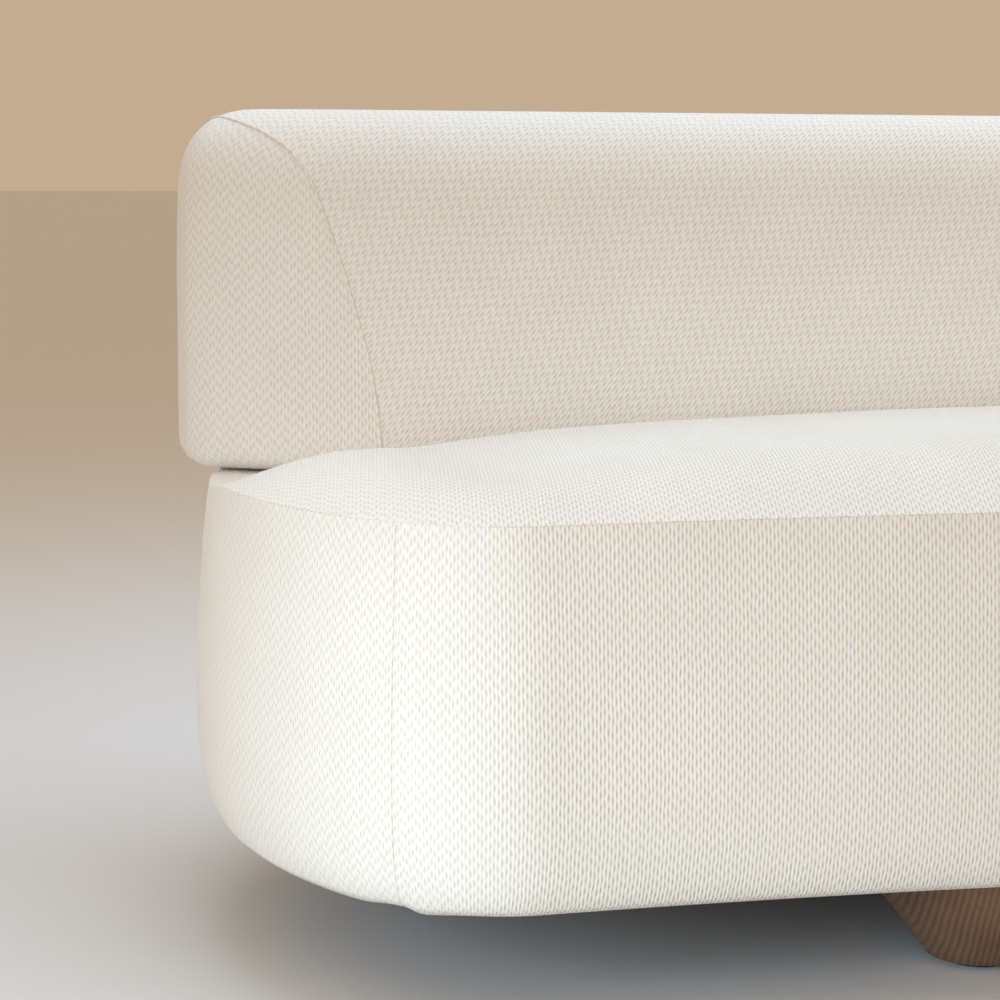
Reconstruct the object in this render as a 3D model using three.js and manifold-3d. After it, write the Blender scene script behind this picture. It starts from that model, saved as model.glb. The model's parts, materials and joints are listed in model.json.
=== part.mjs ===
// Sofa with wooden legs: a gently curved upholstered seat that floats on four turned walnut legs,
// with a separate bolster-like back that stands on the rear of the seat.
//
// Millimetres, +Z up, floor at z = 0, the sitter faces -Y. The plan is bent round a circle whose
// centre lies in front of the sofa. Plan positions are given as s, the distance along the seat's
// front face from the middle (left is negative), and d, the distance behind that face.

import * as THREE from "three";
import Module from "manifold-3d";

const wasm = await Module();
wasm.setup();

// ---- driving dimensions -------------------------------------------------------------------------
const CURVE_RADIUS = 4300; // of the seat's front face in plan
const PLAN_SETBACK = 390; // brings the middle of the footprint to the origin
const CLEARANCE = 0.4; // air left between neighbouring solids
const SHIM = 1.3; // air left where a straight piece meets a bent one

const SEAT = {
  halfLength: 1135,
  front: 0,
  rear: 880,
  frontCorner: 205, // length of the rounded front corner along s
  rearCorner: 420,
  tipShare: 0.393, // how far back the end reaches furthest, as a share of the depth
  bottom: 105,
  seam: 425, // height of the seam round the top panel
  crown: 38, // rise of the top panel above its seam
  shelf: 416, // height of the top panel where the back stands on it
};
const BACK = {
  halfLength: 1116,
  front: 472,
  rear: 860,
  frontCorner: 182,
  rearCorner: 200,
  tipShare: 0.227,
  bottom: 418,
  widest: 560, // height where the sides stand upright
  top: 764,
  rake: 30, // lean of the front face over its height
  topRadius: 76,
  bottomRadius: 24,
};
const COVER_THICKNESS = 5; // cloth with its wadding
const COVER_TURN_UNDER = 60; // width of the hem stapled under the frame

const BOARD = 25; // thickness of the seat's timber rails
const RAIL_INSET = 75; // timber's outer face behind the widest line of the seat
const RAIL_TOP = 240;
const RAIL_BOTTOM = 109;
const END_FORM_THICKNESS = 18; // bent plywood round the ends
const LEG_S = 504;
const LEG_DEPTHS = [["front", 160], ["rear", 700]];
const LEG_RAIL_WIDTH = 120;
const LEG_RAIL_THICKNESS = 36;

const MID_RAIL_WIDTH = 25;

const WEB_WIDTH = 60;
const WEB_THICKNESS = 1.8;
// s of each pair of webbing straps, and the d where they are stapled at the rear
const WEBS = [[110, 803], [320, 803], [500, 803], [770, 775], [880, 705]];
const DUST_COVER_THICKNESS = 1.6;
const BASE_FOAM_BOTTOM = 243;
const BASE_FOAM_TOP = 340;
const BORDER_FOAM_INSET = 71; // inner face of the foam glued round the timber
const BORDER_ROWS = [119, 132, 152, 195]; // heights where its outer face is shaped

const POST_S = [-640, -215, 215, 640];
const POST_WIDTH = 50;
const POST_DEPTH = 45;
const POST_TOP = 649;
const POST_HOLE_HEIGHTS = [200, 600]; // of the mortise through the foam and the cover
const BACK_FRAME_FRONT = 590;
const BACK_FRAME_HALF = 960;
const BACK_FRAME_REAR = 786;
const BACK_FRAME_BOTTOM = 424;
const BACK_FRAME_TOP = 670;
const FRONT_PLY = 9;
const REAR_PLY = 6;
const BACK_BOARD = 20;
const RIB_THICKNESS = 18;
const RIB_S = [-930, -420, 420, 930];

const LEG_TOP_RADIUS = 122;
const LEG_FOOT_RADIUS = 45;
const GLIDE_RADIUS = 30;
const GLIDE_HEIGHT = 5;
const LEG_TOP = 105;
const LEG_BORE_BOTTOM = 55;
const BOLT_HOLE_HEIGHTS = [80, 200]; // of the drill that clears every piece over a leg
const BOLT_RADIUS = 5;
const BOLT_HEAD_RADIUS = 10;
const BOLT_HEAD_HEIGHT = 6;
const POST_BOLT_RADIUS = 4;
const POST_NUT_RADIUS = 7;
const POST_BOLT_HEAD_RADIUS = 10;
const POST_BOLT_HEIGHTS = [150, 205];

// ---- finishes -----------------------------------------------------------------------------------
function finish(color, roughness, metalness = 0) {
  return new THREE.MeshStandardMaterial({ color, roughness, metalness });
}
const WEAVE = finish(0xefe7d8, 0.92);
const FOAM = finish(0xe9dcae, 0.95);
const DUST_CLOTH = finish(0x2b2a29, 0.9);
const WEBBING = finish(0x3d3a36, 0.85);
const WALNUT = finish(0x6b4a34, 0.5);
const BEECH = finish(0xc9a77c, 0.7);
const PLYWOOD = finish(0xbf9a6c, 0.75);
const ZINC = finish(0xa9acb0, 0.4, 0.9);
const NYLON = finish(0x1f1f20, 0.6);

const group = new THREE.Group();
group.name = "sofa_with_wooden_legs";

function add(name, geometry, material) {
  const mesh = new THREE.Mesh(geometry, material);
  mesh.name = name;
  group.add(mesh);
}

// ---- placing things on the bent plan ------------------------------------------------------------
function place(s, d, z) {
  const angle = s / CURVE_RADIUS;
  const radius = CURVE_RADIUS + d;
  return [radius * Math.sin(angle), radius * Math.cos(angle) - CURVE_RADIUS - PLAN_SETBACK, z];
}

// The same for a straight piece squared to the bend at s: x runs along it and y backwards.
function placeAt(s, x, y, z) {
  const angle = s / CURVE_RADIUS;
  const [px, py] = place(s, y, z);
  return [px + x * Math.cos(angle), py - x * Math.sin(angle), z];
}

// ---- lofted bodies ------------------------------------------------------------------------------
// Joins equal closed sections into one closed body. cap fills the first section and the last. The
// quads of the first turnedRows rows are split the other way, so that a cover's inner wall, which
// is lofted downwards, keeps its distance from the layer that it lies on.
function loft(sections, cap = fanCap, turnedRows = 0) {
  const count = sections[0].length;
  const points = sections.flat();
  const triangles = [];
  for (let i = 0; i + 1 < sections.length; i += 1) {
    for (let j = 0; j < count; j += 1) {
      const a = i * count + j;
      const b = i * count + ((j + 1) % count);
      if (i >= turnedRows) {
        triangles.push([a, b, b + count], [a, b + count, a + count]);
      } else {
        triangles.push([a, b, a + count], [b, b + count, a + count]);
      }
    }
  }
  const last = (sections.length - 1) * count;
  for (const [a, b, c] of cap(points, 0, count)) {
    triangles.push([a, c, b]);
  }
  triangles.push(...cap(points, last, count));
  return closedGeometry(points, triangles);
}

function fanCap(points, start, count) {
  const triangles = [];
  for (let j = 1; j + 1 < count; j += 1) {
    triangles.push([start, start + j, start + j + 1]);
  }
  return triangles;
}

// Fills a long bent ring with rungs from its front line to its rear line, so it follows the bend.
function ladderCap(points, start, count) {
  const half = count / 2;
  const triangles = [];
  for (let i = 0; i < half; i += 1) {
    const a = start + i;
    const b = start + i + 1;
    const c = start + ((count - i - 1) % count);
    const d = start + ((count - i) % count);
    if (a !== d) {
      triangles.push([a, c, d]);
    }
    if (b !== c) {
      triangles.push([a, b, c]);
    }
  }
  return triangles;
}

function signedVolume(points, triangles) {
  let sum = 0;
  for (const [a, b, c] of triangles) {
    const [ax, ay, az] = points[a];
    const [bx, by, bz] = points[b];
    const [cx, cy, cz] = points[c];
    sum += ax * (by * cz - bz * cy) + ay * (bz * cx - bx * cz) + az * (bx * cy - by * cx);
  }
  return sum / 6;
}

function closedGeometry(points, triangles) {
  const outward = signedVolume(points, triangles) > 0;
  const faces = outward ? triangles : triangles.map(([a, b, c]) => [a, c, b]);
  const geometry = new THREE.BufferGeometry();
  geometry.setAttribute("position", new THREE.Float32BufferAttribute(points.flat(), 3));
  geometry.setIndex(faces.flat());
  geometry.computeVertexNormals();
  return geometry;
}

function toManifold(geometry) {
  return new wasm.Manifold(
    new wasm.Mesh({
      numProp: 3,
      vertProperties: new Float32Array(geometry.getAttribute("position").array),
      triVerts: new Uint32Array(geometry.getIndex().array),
    }),
  );
}

function cut(geometry, tools) {
  let solid = toManifold(geometry);
  for (const tool of tools) {
    solid = solid.subtract(toManifold(tool));
  }
  const mesh = solid.getMesh();
  const result = new THREE.BufferGeometry();
  result.setAttribute("position", new THREE.Float32BufferAttribute(mesh.vertProperties, 3));
  result.setIndex(Array.from(mesh.triVerts));
  result.computeVertexNormals();
  return result;
}

// ---- plan outlines ------------------------------------------------------------------------------
const CORNER_STEPS = 7;
const FACE_STEPS = 12;
const CHAIN_STEPS = 2 * CORNER_STEPS + FACE_STEPS;

// Front or rear line of a body from its left tip to its right tip, as [s, d] pairs. Each corner is
// a quarter of an ellipse.
function chain(half, tip, edge, width) {
  const points = [];
  for (let i = 0; i <= CORNER_STEPS; i += 1) {
    const a = (i / CORNER_STEPS) * (Math.PI / 2);
    points.push([-half + width * (1 - Math.cos(a)), tip + (edge - tip) * Math.sin(a)]);
  }
  const straight = half - width;
  for (let i = 1; i < FACE_STEPS; i += 1) {
    points.push([straight * ((2 * i) / FACE_STEPS - 1), edge]);
  }
  for (let i = CORNER_STEPS; i >= 0; i -= 1) {
    const [s, d] = points[i];
    points.push([-s, d]);
  }
  return points;
}

// One closed line round the plan, left tip first, along the front and home along the rear.
function outline(body, inset, lean = 0) {
  const half = body.halfLength - inset;
  const front = body.front + lean + inset;
  const rear = body.rear - inset;
  const tip = front + (rear - front) * body.tipShare;
  const least = 8;
  const frontLine = chain(half, tip, front, Math.max(body.frontCorner - inset, least));
  const rearLine = chain(half, tip, rear, Math.max(body.rearCorner - inset, least));
  return [...frontLine, ...rearLine.slice(1, -1).reverse()];
}

// ---- upholstered profiles, as [inset, z] pairs from the underside to the top panel ---------------
const SEAT_PROFILE = [
  [26, 105],
  [19, 109],
  [12, 122],
  [5, 148],
  [0.5, 195],
  [1, 250],
  [4, 310],
  [8, 370],
  [13, 420],
];
const CROWN_INSETS = [17, 30, 55, 95];

function crownHeight(inset) {
  const reach = 200;
  const steepness = 2.6;
  const share = Math.min((inset - SEAT_PROFILE.at(-1)[0]) / reach, 1);
  return SEAT.seam + SEAT.crown * (1 - (1 - share) ** steepness);
}

function seatProfile() {
  return [...SEAT_PROFILE, ...CROWN_INSETS.map((inset) => [inset, crownHeight(inset)])];
}

function backProfile() {
  const rows = [];
  const corner = BACK.bottomRadius;
  for (const degrees of [0, 30, 60, 90]) {
    const a = THREE.MathUtils.degToRad(degrees);
    rows.push([corner * (1 - Math.sin(a)), BACK.bottom + corner * (1 - Math.cos(a))]);
  }
  rows.push([0, BACK.widest]);
  for (const degrees of [0, 18, 36, 54, 72, 90]) {
    const a = THREE.MathUtils.degToRad(degrees);
    const z = BACK.top - BACK.topRadius * (1 - Math.sin(a));
    rows.push([BACK.topRadius * (1 - Math.cos(a)), z]);
  }
  return rows;
}

// The same profile moved into the body by a thickness, square to its own line.
function inward(profile, thickness) {
  return profile.map(([inset, z], i) => {
    const [i0, z0] = profile[Math.max(i - 1, 0)];
    const [i1, z1] = profile[Math.min(i + 1, profile.length - 1)];
    const length = Math.hypot(i1 - i0, z1 - z0);
    const along = [(i1 - i0) / length, (z1 - z0) / length];
    return [inset + along[1] * thickness, z - along[0] * thickness];
  });
}

function insetAt(profile, z) {
  for (let i = 0; i + 1 < profile.length; i += 1) {
    const [i0, z0] = profile[i];
    const [i1, z1] = profile[i + 1];
    if (z >= z0 && z <= z1 && z1 > z0) {
      return i0 + ((i1 - i0) * (z - z0)) / (z1 - z0);
    }
  }
  return profile[0][0];
}

// ---- seat upholstery ----------------------------------------------------------------------------
// The top panel sinks to a flat shelf under the back, over this span of d. Towards the ends the
// span moves forward, as the top panel rolls down there.
const SHELF_SPAN = [430, 486];
const SHELF_SPAN_AT_END = [320, 440];
const END_BLEND = [850, 1050];

// Height of the top panel at s, d. ahead brings the shelf forward, for the layers underneath.
function seatHeight(s, d, z, ahead) {
  const end = THREE.MathUtils.smoothstep(Math.abs(s), ...END_BLEND);
  const [from, to] = SHELF_SPAN.map((middle, i) =>
    THREE.MathUtils.lerp(middle, SHELF_SPAN_AT_END[i], end),
  );
  const share = THREE.MathUtils.smoothstep(d + ahead, from, to);
  return z - Math.max(z - SEAT.shelf, 0) * share;
}

const OUTSIDE = { sunk: 0, ahead: 0 };
const INSIDE = { sunk: COVER_THICKNESS, ahead: 6 };
const UNDER_COVER = { sunk: COVER_THICKNESS + 2, ahead: 18 };

function seatRing(inset, z, layer = OUTSIDE) {
  const { sunk, ahead } = layer;
  return outline(SEAT, inset).map(([s, d]) =>
    place(s, d, seatHeight(s, d, z + sunk, ahead) - sunk),
  );
}

// Rows across the middle of the top panel, each from its left tip to its right tip.
const TOP_ROWS = [190, 300, 400, 430, 445, 460, 475, 490, 640];

// Fills the ring at the crown's edge with rows, each a share of the way from front to rear.
function seatTopCap({ sunk, ahead }) {
  return (points, start, count) => {
    const edge = CROWN_INSETS.at(-1);
    const ring = outline(SEAT, edge);
    const half = count / 2;
    const front = SEAT.front + edge;
    const span = SEAT.rear - edge - front;
    const edgeHeight = crownHeight(edge);
    const rungs = Array.from({ length: half + 1 }, (_, i) => [i, (count - i) % count]);
    const rowAt = (row) =>
      rungs.map(([i, j]) => {
        if (i === j || i === half) {
          return start + i;
        }
        const share = (row - front) / span;
        const s = ring[i][0] + (ring[j][0] - ring[i][0]) * share;
        const d = ring[i][1] + (ring[j][1] - ring[i][1]) * share;
        const rise = crownHeight(Math.min(row, SEAT.rear - row)) - edgeHeight;
        const fade = Math.sqrt(Math.sin((Math.PI * i) / half));
        points.push(place(s, d, seatHeight(s, d, edgeHeight + rise * fade, ahead) - sunk));
        return points.length - 1;
      });
    const rows = [
      rungs.map(([i]) => start + i),
      ...TOP_ROWS.map(rowAt),
      rungs.map(([, j]) => start + j),
    ];
    const triangles = [];
    for (let r = 0; r + 1 < rows.length; r += 1) {
      for (let i = 0; i < half; i += 1) {
        const [a, b, c, d] = [rows[r][i], rows[r][i + 1], rows[r + 1][i + 1], rows[r + 1][i]];
        if (a !== d) {
          triangles.push([a, c, d]);
        }
        if (b !== c) {
          triangles.push([a, b, c]);
        }
      }
    }
    return triangles;
  };
}

function capEach(first, last) {
  return (points, start, count) => (start === 0 ? first : last)(points, start, count);
}

function seatCover() {
  const outer = seatProfile();
  const inner = inward(outer, COVER_THICKNESS).filter(([, z]) => z > SEAT.bottom + COVER_THICKNESS);
  const hemTop = SEAT.bottom + COVER_THICKNESS;
  const sections = [
    ...inner.map(([inset, z]) => seatRing(inset, z, INSIDE)).reverse(),
    seatRing(outer[0][0] + COVER_THICKNESS, hemTop),
    seatRing(COVER_TURN_UNDER, hemTop),
    seatRing(COVER_TURN_UNDER, SEAT.bottom),
    ...outer.map(([inset, z]) => seatRing(inset, z)),
  ];
  const cap = capEach(seatTopCap(INSIDE), seatTopCap(OUTSIDE));
  add("seat_cover", cut(loft(sections, cap, inner.length - 1), postHoles()), WEAVE);
}

const FOAM_LINE = inward(seatProfile(), COVER_THICKNESS + CLEARANCE);

function seatTopFoam() {
  const low = BASE_FOAM_TOP + CLEARANCE;
  const rows = FOAM_LINE.filter(([, z]) => z > low + 8);
  const sections = [
    seatRing(insetAt(FOAM_LINE, low), low),
    ...rows.map(([inset, z]) => seatRing(inset, z, UNDER_COVER)),
  ];
  const cap = capEach(ladderCap, seatTopCap(UNDER_COVER));
  add("seat_top_foam", cut(loft(sections, cap), postHoles()), FOAM);
}

function seatBaseFoam() {
  const heights = [BASE_FOAM_BOTTOM, (BASE_FOAM_BOTTOM + BASE_FOAM_TOP) / 2, BASE_FOAM_TOP];
  const sections = heights.map((z) => seatRing(insetAt(FOAM_LINE, z) + 0.5, z));
  add("seat_base_foam", cut(loft(sections, ladderCap), postHoles()), FOAM);
}

// ---- pieces that follow the seat's outline ------------------------------------------------------
const RING_COUNT = 2 * CHAIN_STEPS;
const range = (from, to) => Array.from({ length: to - from + 1 }, (_, i) => from + i);
const SIDES = {
  front: range(CORNER_STEPS, CORNER_STEPS + FACE_STEPS),
  right: range(CORNER_STEPS + FACE_STEPS, RING_COUNT - CORNER_STEPS - FACE_STEPS),
  rear: range(RING_COUNT - CORNER_STEPS - FACE_STEPS, RING_COUNT - CORNER_STEPS),
  left: range(RING_COUNT - CORNER_STEPS, RING_COUNT + CORNER_STEPS),
};

// Sweeps a section, given as [inset, z] pairs, along one side. The long sides stop short by trim.
function sweepSide(side, section) {
  const steps = SIDES[side];
  const trim = side === "front" || side === "rear" ? CLEARANCE : 0;
  const rings = section.map(([inset]) => outline(SEAT, inset));
  const sections = steps.map((step, i) => {
    const atEnd = i === 0 || i === steps.length - 1;
    return section.map(([, z], k) => {
      const [s, d] = rings[k][step % RING_COUNT];
      return place(atEnd ? s - Math.sign(s) * trim : s, d, z);
    });
  });
  return loft(sections);
}

function borderFoams() {
  const low = SEAT.bottom + COVER_THICKNESS + 3;
  const high = BASE_FOAM_BOTTOM - CLEARANCE;
  const heights = [low, ...BORDER_ROWS, high];
  const section = [
    [BORDER_FOAM_INSET, high],
    [BORDER_FOAM_INSET, low],
    ...heights.map((z) => [insetAt(FOAM_LINE, z) + CLEARANCE, z]),
  ];
  for (const side of Object.keys(SIDES)) {
    add(`seat_${side}_foam`, sweepSide(side, section), FOAM);
  }
}

function railSection(thickness) {
  return [
    [RAIL_INSET, RAIL_BOTTOM],
    [RAIL_INSET, RAIL_TOP],
    [RAIL_INSET + thickness, RAIL_TOP],
    [RAIL_INSET + thickness, RAIL_BOTTOM],
  ];
}

function seatFrame() {
  add("seat_front_rail", sweepSide("front", railSection(BOARD)), BEECH);
  add("seat_left_end_form", sweepSide("left", railSection(END_FORM_THICKNESS)), PLYWOOD);
  add("seat_right_end_form", sweepSide("right", railSection(END_FORM_THICKNESS)), PLYWOOD);
  add("seat_rear_rail", cut(sweepSide("rear", railSection(BOARD)), postBoltHoles()), BEECH);
  const inside = [RAIL_INSET + BOARD + SHIM, SEAT.rear - RAIL_INSET - BOARD - SHIM];
  add("seat_middle_rail", block(0, MID_RAIL_WIDTH, inside, [RAIL_BOTTOM, RAIL_TOP - 2]), BEECH);
  for (const side of [-1, 1]) {
    const s = side * LEG_S;
    const thickness = [RAIL_BOTTOM, RAIL_BOTTOM + LEG_RAIL_THICKNESS];
    const plank = block(s, LEG_RAIL_WIDTH, inside, thickness);
    const holes = LEG_DEPTHS.map(([, d]) => legBoltHole(s, d));
    add(`seat_${sideName(side)}_leg_rail`, cut(plank, holes), BEECH);
  }
}

function webbing() {
  const low = RAIL_TOP + CLEARANCE;
  for (const side of [-1, 1]) {
    WEBS.forEach(([s, rear], i) => {
      const strap = block(side * s, WEB_WIDTH, [RAIL_INSET + 3, rear], [low, low + WEB_THICKNESS]);
      add(`webbing_${sideName(side)}_${i + 1}`, strap, WEBBING);
    });
  }
}

function dustCover() {
  const low = SEAT.bottom + CLEARANCE;
  const rings = [low, low + DUST_COVER_THICKNESS].map((z) => seatRing(COVER_TURN_UNDER + 1, z));
  const holes = [-1, 1].flatMap((side) => LEG_DEPTHS.map(([, d]) => legBoltHole(side * LEG_S, d)));
  add("dust_cover", cut(loft(rings, ladderCap), holes), DUST_CLOTH);
}

// ---- straight and turned pieces -----------------------------------------------------------------
// A box squared to the bend at s.
function block(s, width, [front, rear], [low, high]) {
  const corners = [[-1, front], [1, front], [1, rear], [-1, rear]];
  return loft(
    [low, high].map((z) => corners.map(([side, d]) => placeAt(s, (side * width) / 2, d, z))),
  );
}

// A board bent along the sofa between -half and half.
function bentBoard(half, [front, rear], [low, high]) {
  const steps = 16;
  const section = [[front, low], [rear, low], [rear, high], [front, high]];
  return loft(
    range(0, steps).map((i) => section.map(([d, z]) => place(half * ((2 * i) / steps - 1), d, z))),
  );
}

// A turned body from [radius, height] pairs, standing at s, d.
function turned(s, d, profile, sides) {
  const spokes = range(0, sides - 1).map((i) => (i / sides) * 2 * Math.PI);
  return loft(
    profile.map(([radius, z]) =>
      spokes.map((a) => placeAt(s, radius * Math.cos(a), d + radius * Math.sin(a), z)),
    ),
  );
}

// A turned body lying front to rear at s and height z, from [radius, d] pairs.
function turnedAcross(s, z, profile, sides) {
  const spokes = range(0, sides - 1).map((i) => (i / sides) * 2 * Math.PI);
  return loft(
    profile.map(([radius, d]) =>
      spokes.map((a) => placeAt(s, radius * Math.cos(a), d, z + radius * Math.sin(a))),
    ),
  );
}

const sideName = (side) => (side < 0 ? "left" : "right");

// ---- legs ---------------------------------------------------------------------------------------
const BOLT_SIDES = 12;

function legBoltHole(s, d) {
  const radius = BOLT_RADIUS + CLEARANCE;
  return turned(s, d, BOLT_HOLE_HEIGHTS.map((z) => [radius, z]), BOLT_SIDES);
}

function legs() {
  const bore = BOLT_RADIUS + CLEARANCE;
  const foot = GLIDE_HEIGHT + CLEARANCE;
  const wood = [
    [bore, LEG_BORE_BOTTOM],
    [bore, LEG_TOP],
    [LEG_TOP_RADIUS - 2, LEG_TOP],
    [LEG_TOP_RADIUS, LEG_TOP - 2.5],
    [LEG_FOOT_RADIUS, foot + 1.5],
    [LEG_FOOT_RADIUS - 1.5, foot],
  ];
  const railTop = RAIL_BOTTOM + LEG_RAIL_THICKNESS + CLEARANCE;
  const bolt = [
    [BOLT_RADIUS, LEG_BORE_BOTTOM + 1],
    [BOLT_RADIUS, railTop],
    [BOLT_HEAD_RADIUS, railTop],
    [BOLT_HEAD_RADIUS, railTop + BOLT_HEAD_HEIGHT],
  ];
  const glide = [
    [GLIDE_RADIUS, 0],
    [GLIDE_RADIUS, GLIDE_HEIGHT],
  ];
  for (const side of [-1, 1]) {
    const s = side * LEG_S;
    for (const [end, d] of LEG_DEPTHS) {
      const name = `${end}_${sideName(side)}`;
      add(`leg_${name}`, turned(s, d, wood, 32), WALNUT);
      add(`leg_bolt_${name}`, turned(s, d, bolt, BOLT_SIDES), ZINC);
      add(`leg_glide_${name}`, turned(s, d, glide, 24), NYLON);
    }
  }
}

// ---- posts that carry the back ------------------------------------------------------------------
const REAR_RAIL = [SEAT.rear - RAIL_INSET - BOARD, SEAT.rear - RAIL_INSET];
const POST_REAR = REAR_RAIL[0] - SHIM;
const POST_DEPTHS = [POST_REAR - POST_DEPTH, POST_REAR];
const POST_HOLE = [POST_DEPTHS[0] - CLEARANCE, POST_DEPTHS[1] + CLEARANCE];

function postHoles() {
  return POST_S.map((s) => block(s, POST_WIDTH + 2 * CLEARANCE, POST_HOLE, POST_HOLE_HEIGHTS));
}

function postBoltHoles() {
  const radius = POST_BOLT_RADIUS + CLEARANCE;
  const line = [[radius, POST_DEPTHS[0] - 10], [radius, REAR_RAIL[1] + 10]];
  return POST_S.flatMap((s) =>
    POST_BOLT_HEIGHTS.map((z) => turnedAcross(s, z, line, BOLT_SIDES)),
  );
}

function backPosts() {
  const holes = postBoltHoles();
  const bolt = [
    [POST_NUT_RADIUS, POST_DEPTHS[0] - CLEARANCE - 6],
    [POST_NUT_RADIUS, POST_DEPTHS[0] - CLEARANCE],
    [POST_BOLT_RADIUS, POST_DEPTHS[0] - CLEARANCE],
    [POST_BOLT_RADIUS, REAR_RAIL[1] + CLEARANCE],
    [POST_BOLT_HEAD_RADIUS, REAR_RAIL[1] + CLEARANCE],
    [POST_BOLT_HEAD_RADIUS - 3, REAR_RAIL[1] + CLEARANCE + 2.5],
  ];
  POST_S.forEach((s, i) => {
    const post = block(s, POST_WIDTH, POST_DEPTHS, [RAIL_BOTTOM, POST_TOP]);
    add(`back_post_${i + 1}`, cut(post, holes.slice(2 * i, 2 * i + 2)), BEECH);
    POST_BOLT_HEIGHTS.forEach((z, k) => {
      const level = k === 0 ? "lower" : "upper";
      add(`post_bolt_${level}_${i + 1}`, turnedAcross(s, z, bolt, BOLT_SIDES), ZINC);
    });
  });
}

// ---- back ---------------------------------------------------------------------------------------
function backRing(inset, z) {
  const lean = (BACK.rake * (z - BACK.bottom)) / (BACK.top - BACK.bottom);
  return outline(BACK, inset, lean).map(([s, d]) => place(s, d, z));
}

function backCover() {
  const outer = backProfile();
  const hemTop = BACK.bottom + COVER_THICKNESS;
  const inner = inward(outer, COVER_THICKNESS).filter(([, z]) => z > hemTop + 1);
  const sections = [
    ...inner.map(([inset, z]) => backRing(inset, z)).reverse(),
    backRing(insetAt(inner, hemTop) + 12, hemTop),
    backRing(COVER_TURN_UNDER, hemTop),
    backRing(COVER_TURN_UNDER, BACK.bottom),
    ...outer.map(([inset, z]) => backRing(inset, z)),
  ];
  add("back_cover", loft(sections, ladderCap, inner.length - 1), WEAVE);
}

// The foam is hollow from below, where the back's timber frame stands in it.
function backFoam() {
  const outer = inward(backProfile(), COVER_THICKNESS + CLEARANCE);
  const low = BACK.bottom + COVER_THICKNESS + CLEARANCE;
  const rows = outer.filter(([, z]) => z > low + 1);
  const cavity = {
    halfLength: BACK_FRAME_HALF + 10,
    front: BACK_FRAME_FRONT - SHIM,
    rear: BACK_FRAME_REAR + SHIM,
    frontCorner: 8,
    rearCorner: 8,
    tipShare: 0.5,
  };
  const hollow = (z) => outline(cavity, 0).map(([s, d]) => place(s, d, z));
  const sections = [
    hollow(BACK_FRAME_TOP + CLEARANCE),
    hollow(low),
    backRing(rows[0][0] + 14, low),
    ...rows.map(([inset, z]) => backRing(inset, z)),
  ];
  add("back_foam", loft(sections, ladderCap), FOAM);
}

function backFrame() {
  const [low, high] = [BACK_FRAME_BOTTOM, BACK_FRAME_TOP];
  const frontPly = [BACK_FRAME_FRONT, BACK_FRAME_FRONT + FRONT_PLY];
  const rearPly = [BACK_FRAME_REAR - REAR_PLY, BACK_FRAME_REAR];
  const inner = frontPly[1] + CLEARANCE;
  const beforePosts = [inner, POST_DEPTHS[0] - CLEARANCE];
  const half = BACK_FRAME_HALF;
  add("back_front_panel", bentBoard(half, frontPly, [low, high]), PLYWOOD);
  add("back_rear_panel", bentBoard(half, rearPly, [low, high]), PLYWOOD);
  const topDepth = [inner, rearPly[0] - CLEARANCE];
  add("back_top_board", bentBoard(half, topDepth, [high - BACK_BOARD, high]), PLYWOOD);
  add("back_bottom_board", bentBoard(half, beforePosts, [low, low + BACK_BOARD]), PLYWOOD);
  const ribHeights = [low + BACK_BOARD + CLEARANCE, high - BACK_BOARD - CLEARANCE];
  RIB_S.forEach((s, i) => {
    add(`back_rib_${i + 1}`, block(s, RIB_THICKNESS, beforePosts, ribHeights), PLYWOOD);
  });
}

seatCover();
seatTopFoam();
seatBaseFoam();
borderFoams();
seatFrame();
webbing();
dustCover();
legs();
backPosts();
backCover();
backFoam();
backFrame();

export default group;
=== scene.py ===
"""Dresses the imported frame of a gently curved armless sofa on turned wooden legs.

Metres, +Z up, the sitter faces -Y. Plan places are given as s, the distance along the seat's front
face from its middle, and d, the distance behind that face.
"""

import json
import math

import bmesh
import bpy
import numpy as np
from bpy.props import FloatProperty, FloatVectorProperty, PointerProperty
from mathutils import Euler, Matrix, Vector


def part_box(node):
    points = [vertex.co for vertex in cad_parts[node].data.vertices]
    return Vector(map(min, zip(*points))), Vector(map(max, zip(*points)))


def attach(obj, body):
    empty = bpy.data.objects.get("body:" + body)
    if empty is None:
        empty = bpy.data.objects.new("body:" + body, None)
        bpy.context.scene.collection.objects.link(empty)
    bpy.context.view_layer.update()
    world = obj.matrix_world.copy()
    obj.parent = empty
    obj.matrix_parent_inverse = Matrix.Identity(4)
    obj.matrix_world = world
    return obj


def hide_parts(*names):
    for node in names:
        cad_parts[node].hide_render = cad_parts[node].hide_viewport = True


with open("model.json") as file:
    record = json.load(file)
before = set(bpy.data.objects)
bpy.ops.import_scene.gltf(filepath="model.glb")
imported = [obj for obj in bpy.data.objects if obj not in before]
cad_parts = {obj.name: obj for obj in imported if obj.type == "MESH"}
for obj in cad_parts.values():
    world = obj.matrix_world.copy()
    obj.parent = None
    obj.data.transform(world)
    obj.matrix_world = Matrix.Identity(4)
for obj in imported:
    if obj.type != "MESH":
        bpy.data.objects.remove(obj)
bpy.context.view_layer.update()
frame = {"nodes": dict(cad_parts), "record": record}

bl_info = {
    "name": "Curved sofa with wooden legs",
    "version": (1, 0, 0),
    "blender": (4, 5, 0),
    "location": "View3D > Sidebar > Sofa",
    "description": "Sews the covers, turns the legs and finishes the timber of a curved sofa",
    "category": "Object",
}

SEAT_LOW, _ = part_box("seat_cover")
BACK_LOW, BACK_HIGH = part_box("back_cover")
NODES = frame["nodes"]
MM = 0.001


# ---- what a user would change --------------------------------------------------------------------
def length(name, description, millimetres):
    return FloatProperty(
        name=name, description=description, default=millimetres * MM, unit="LENGTH", precision=4
    )


def share(name, description, default):
    return FloatProperty(
        name=name, description=description, default=default, min=0, max=1, subtype="FACTOR"
    )


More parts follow.
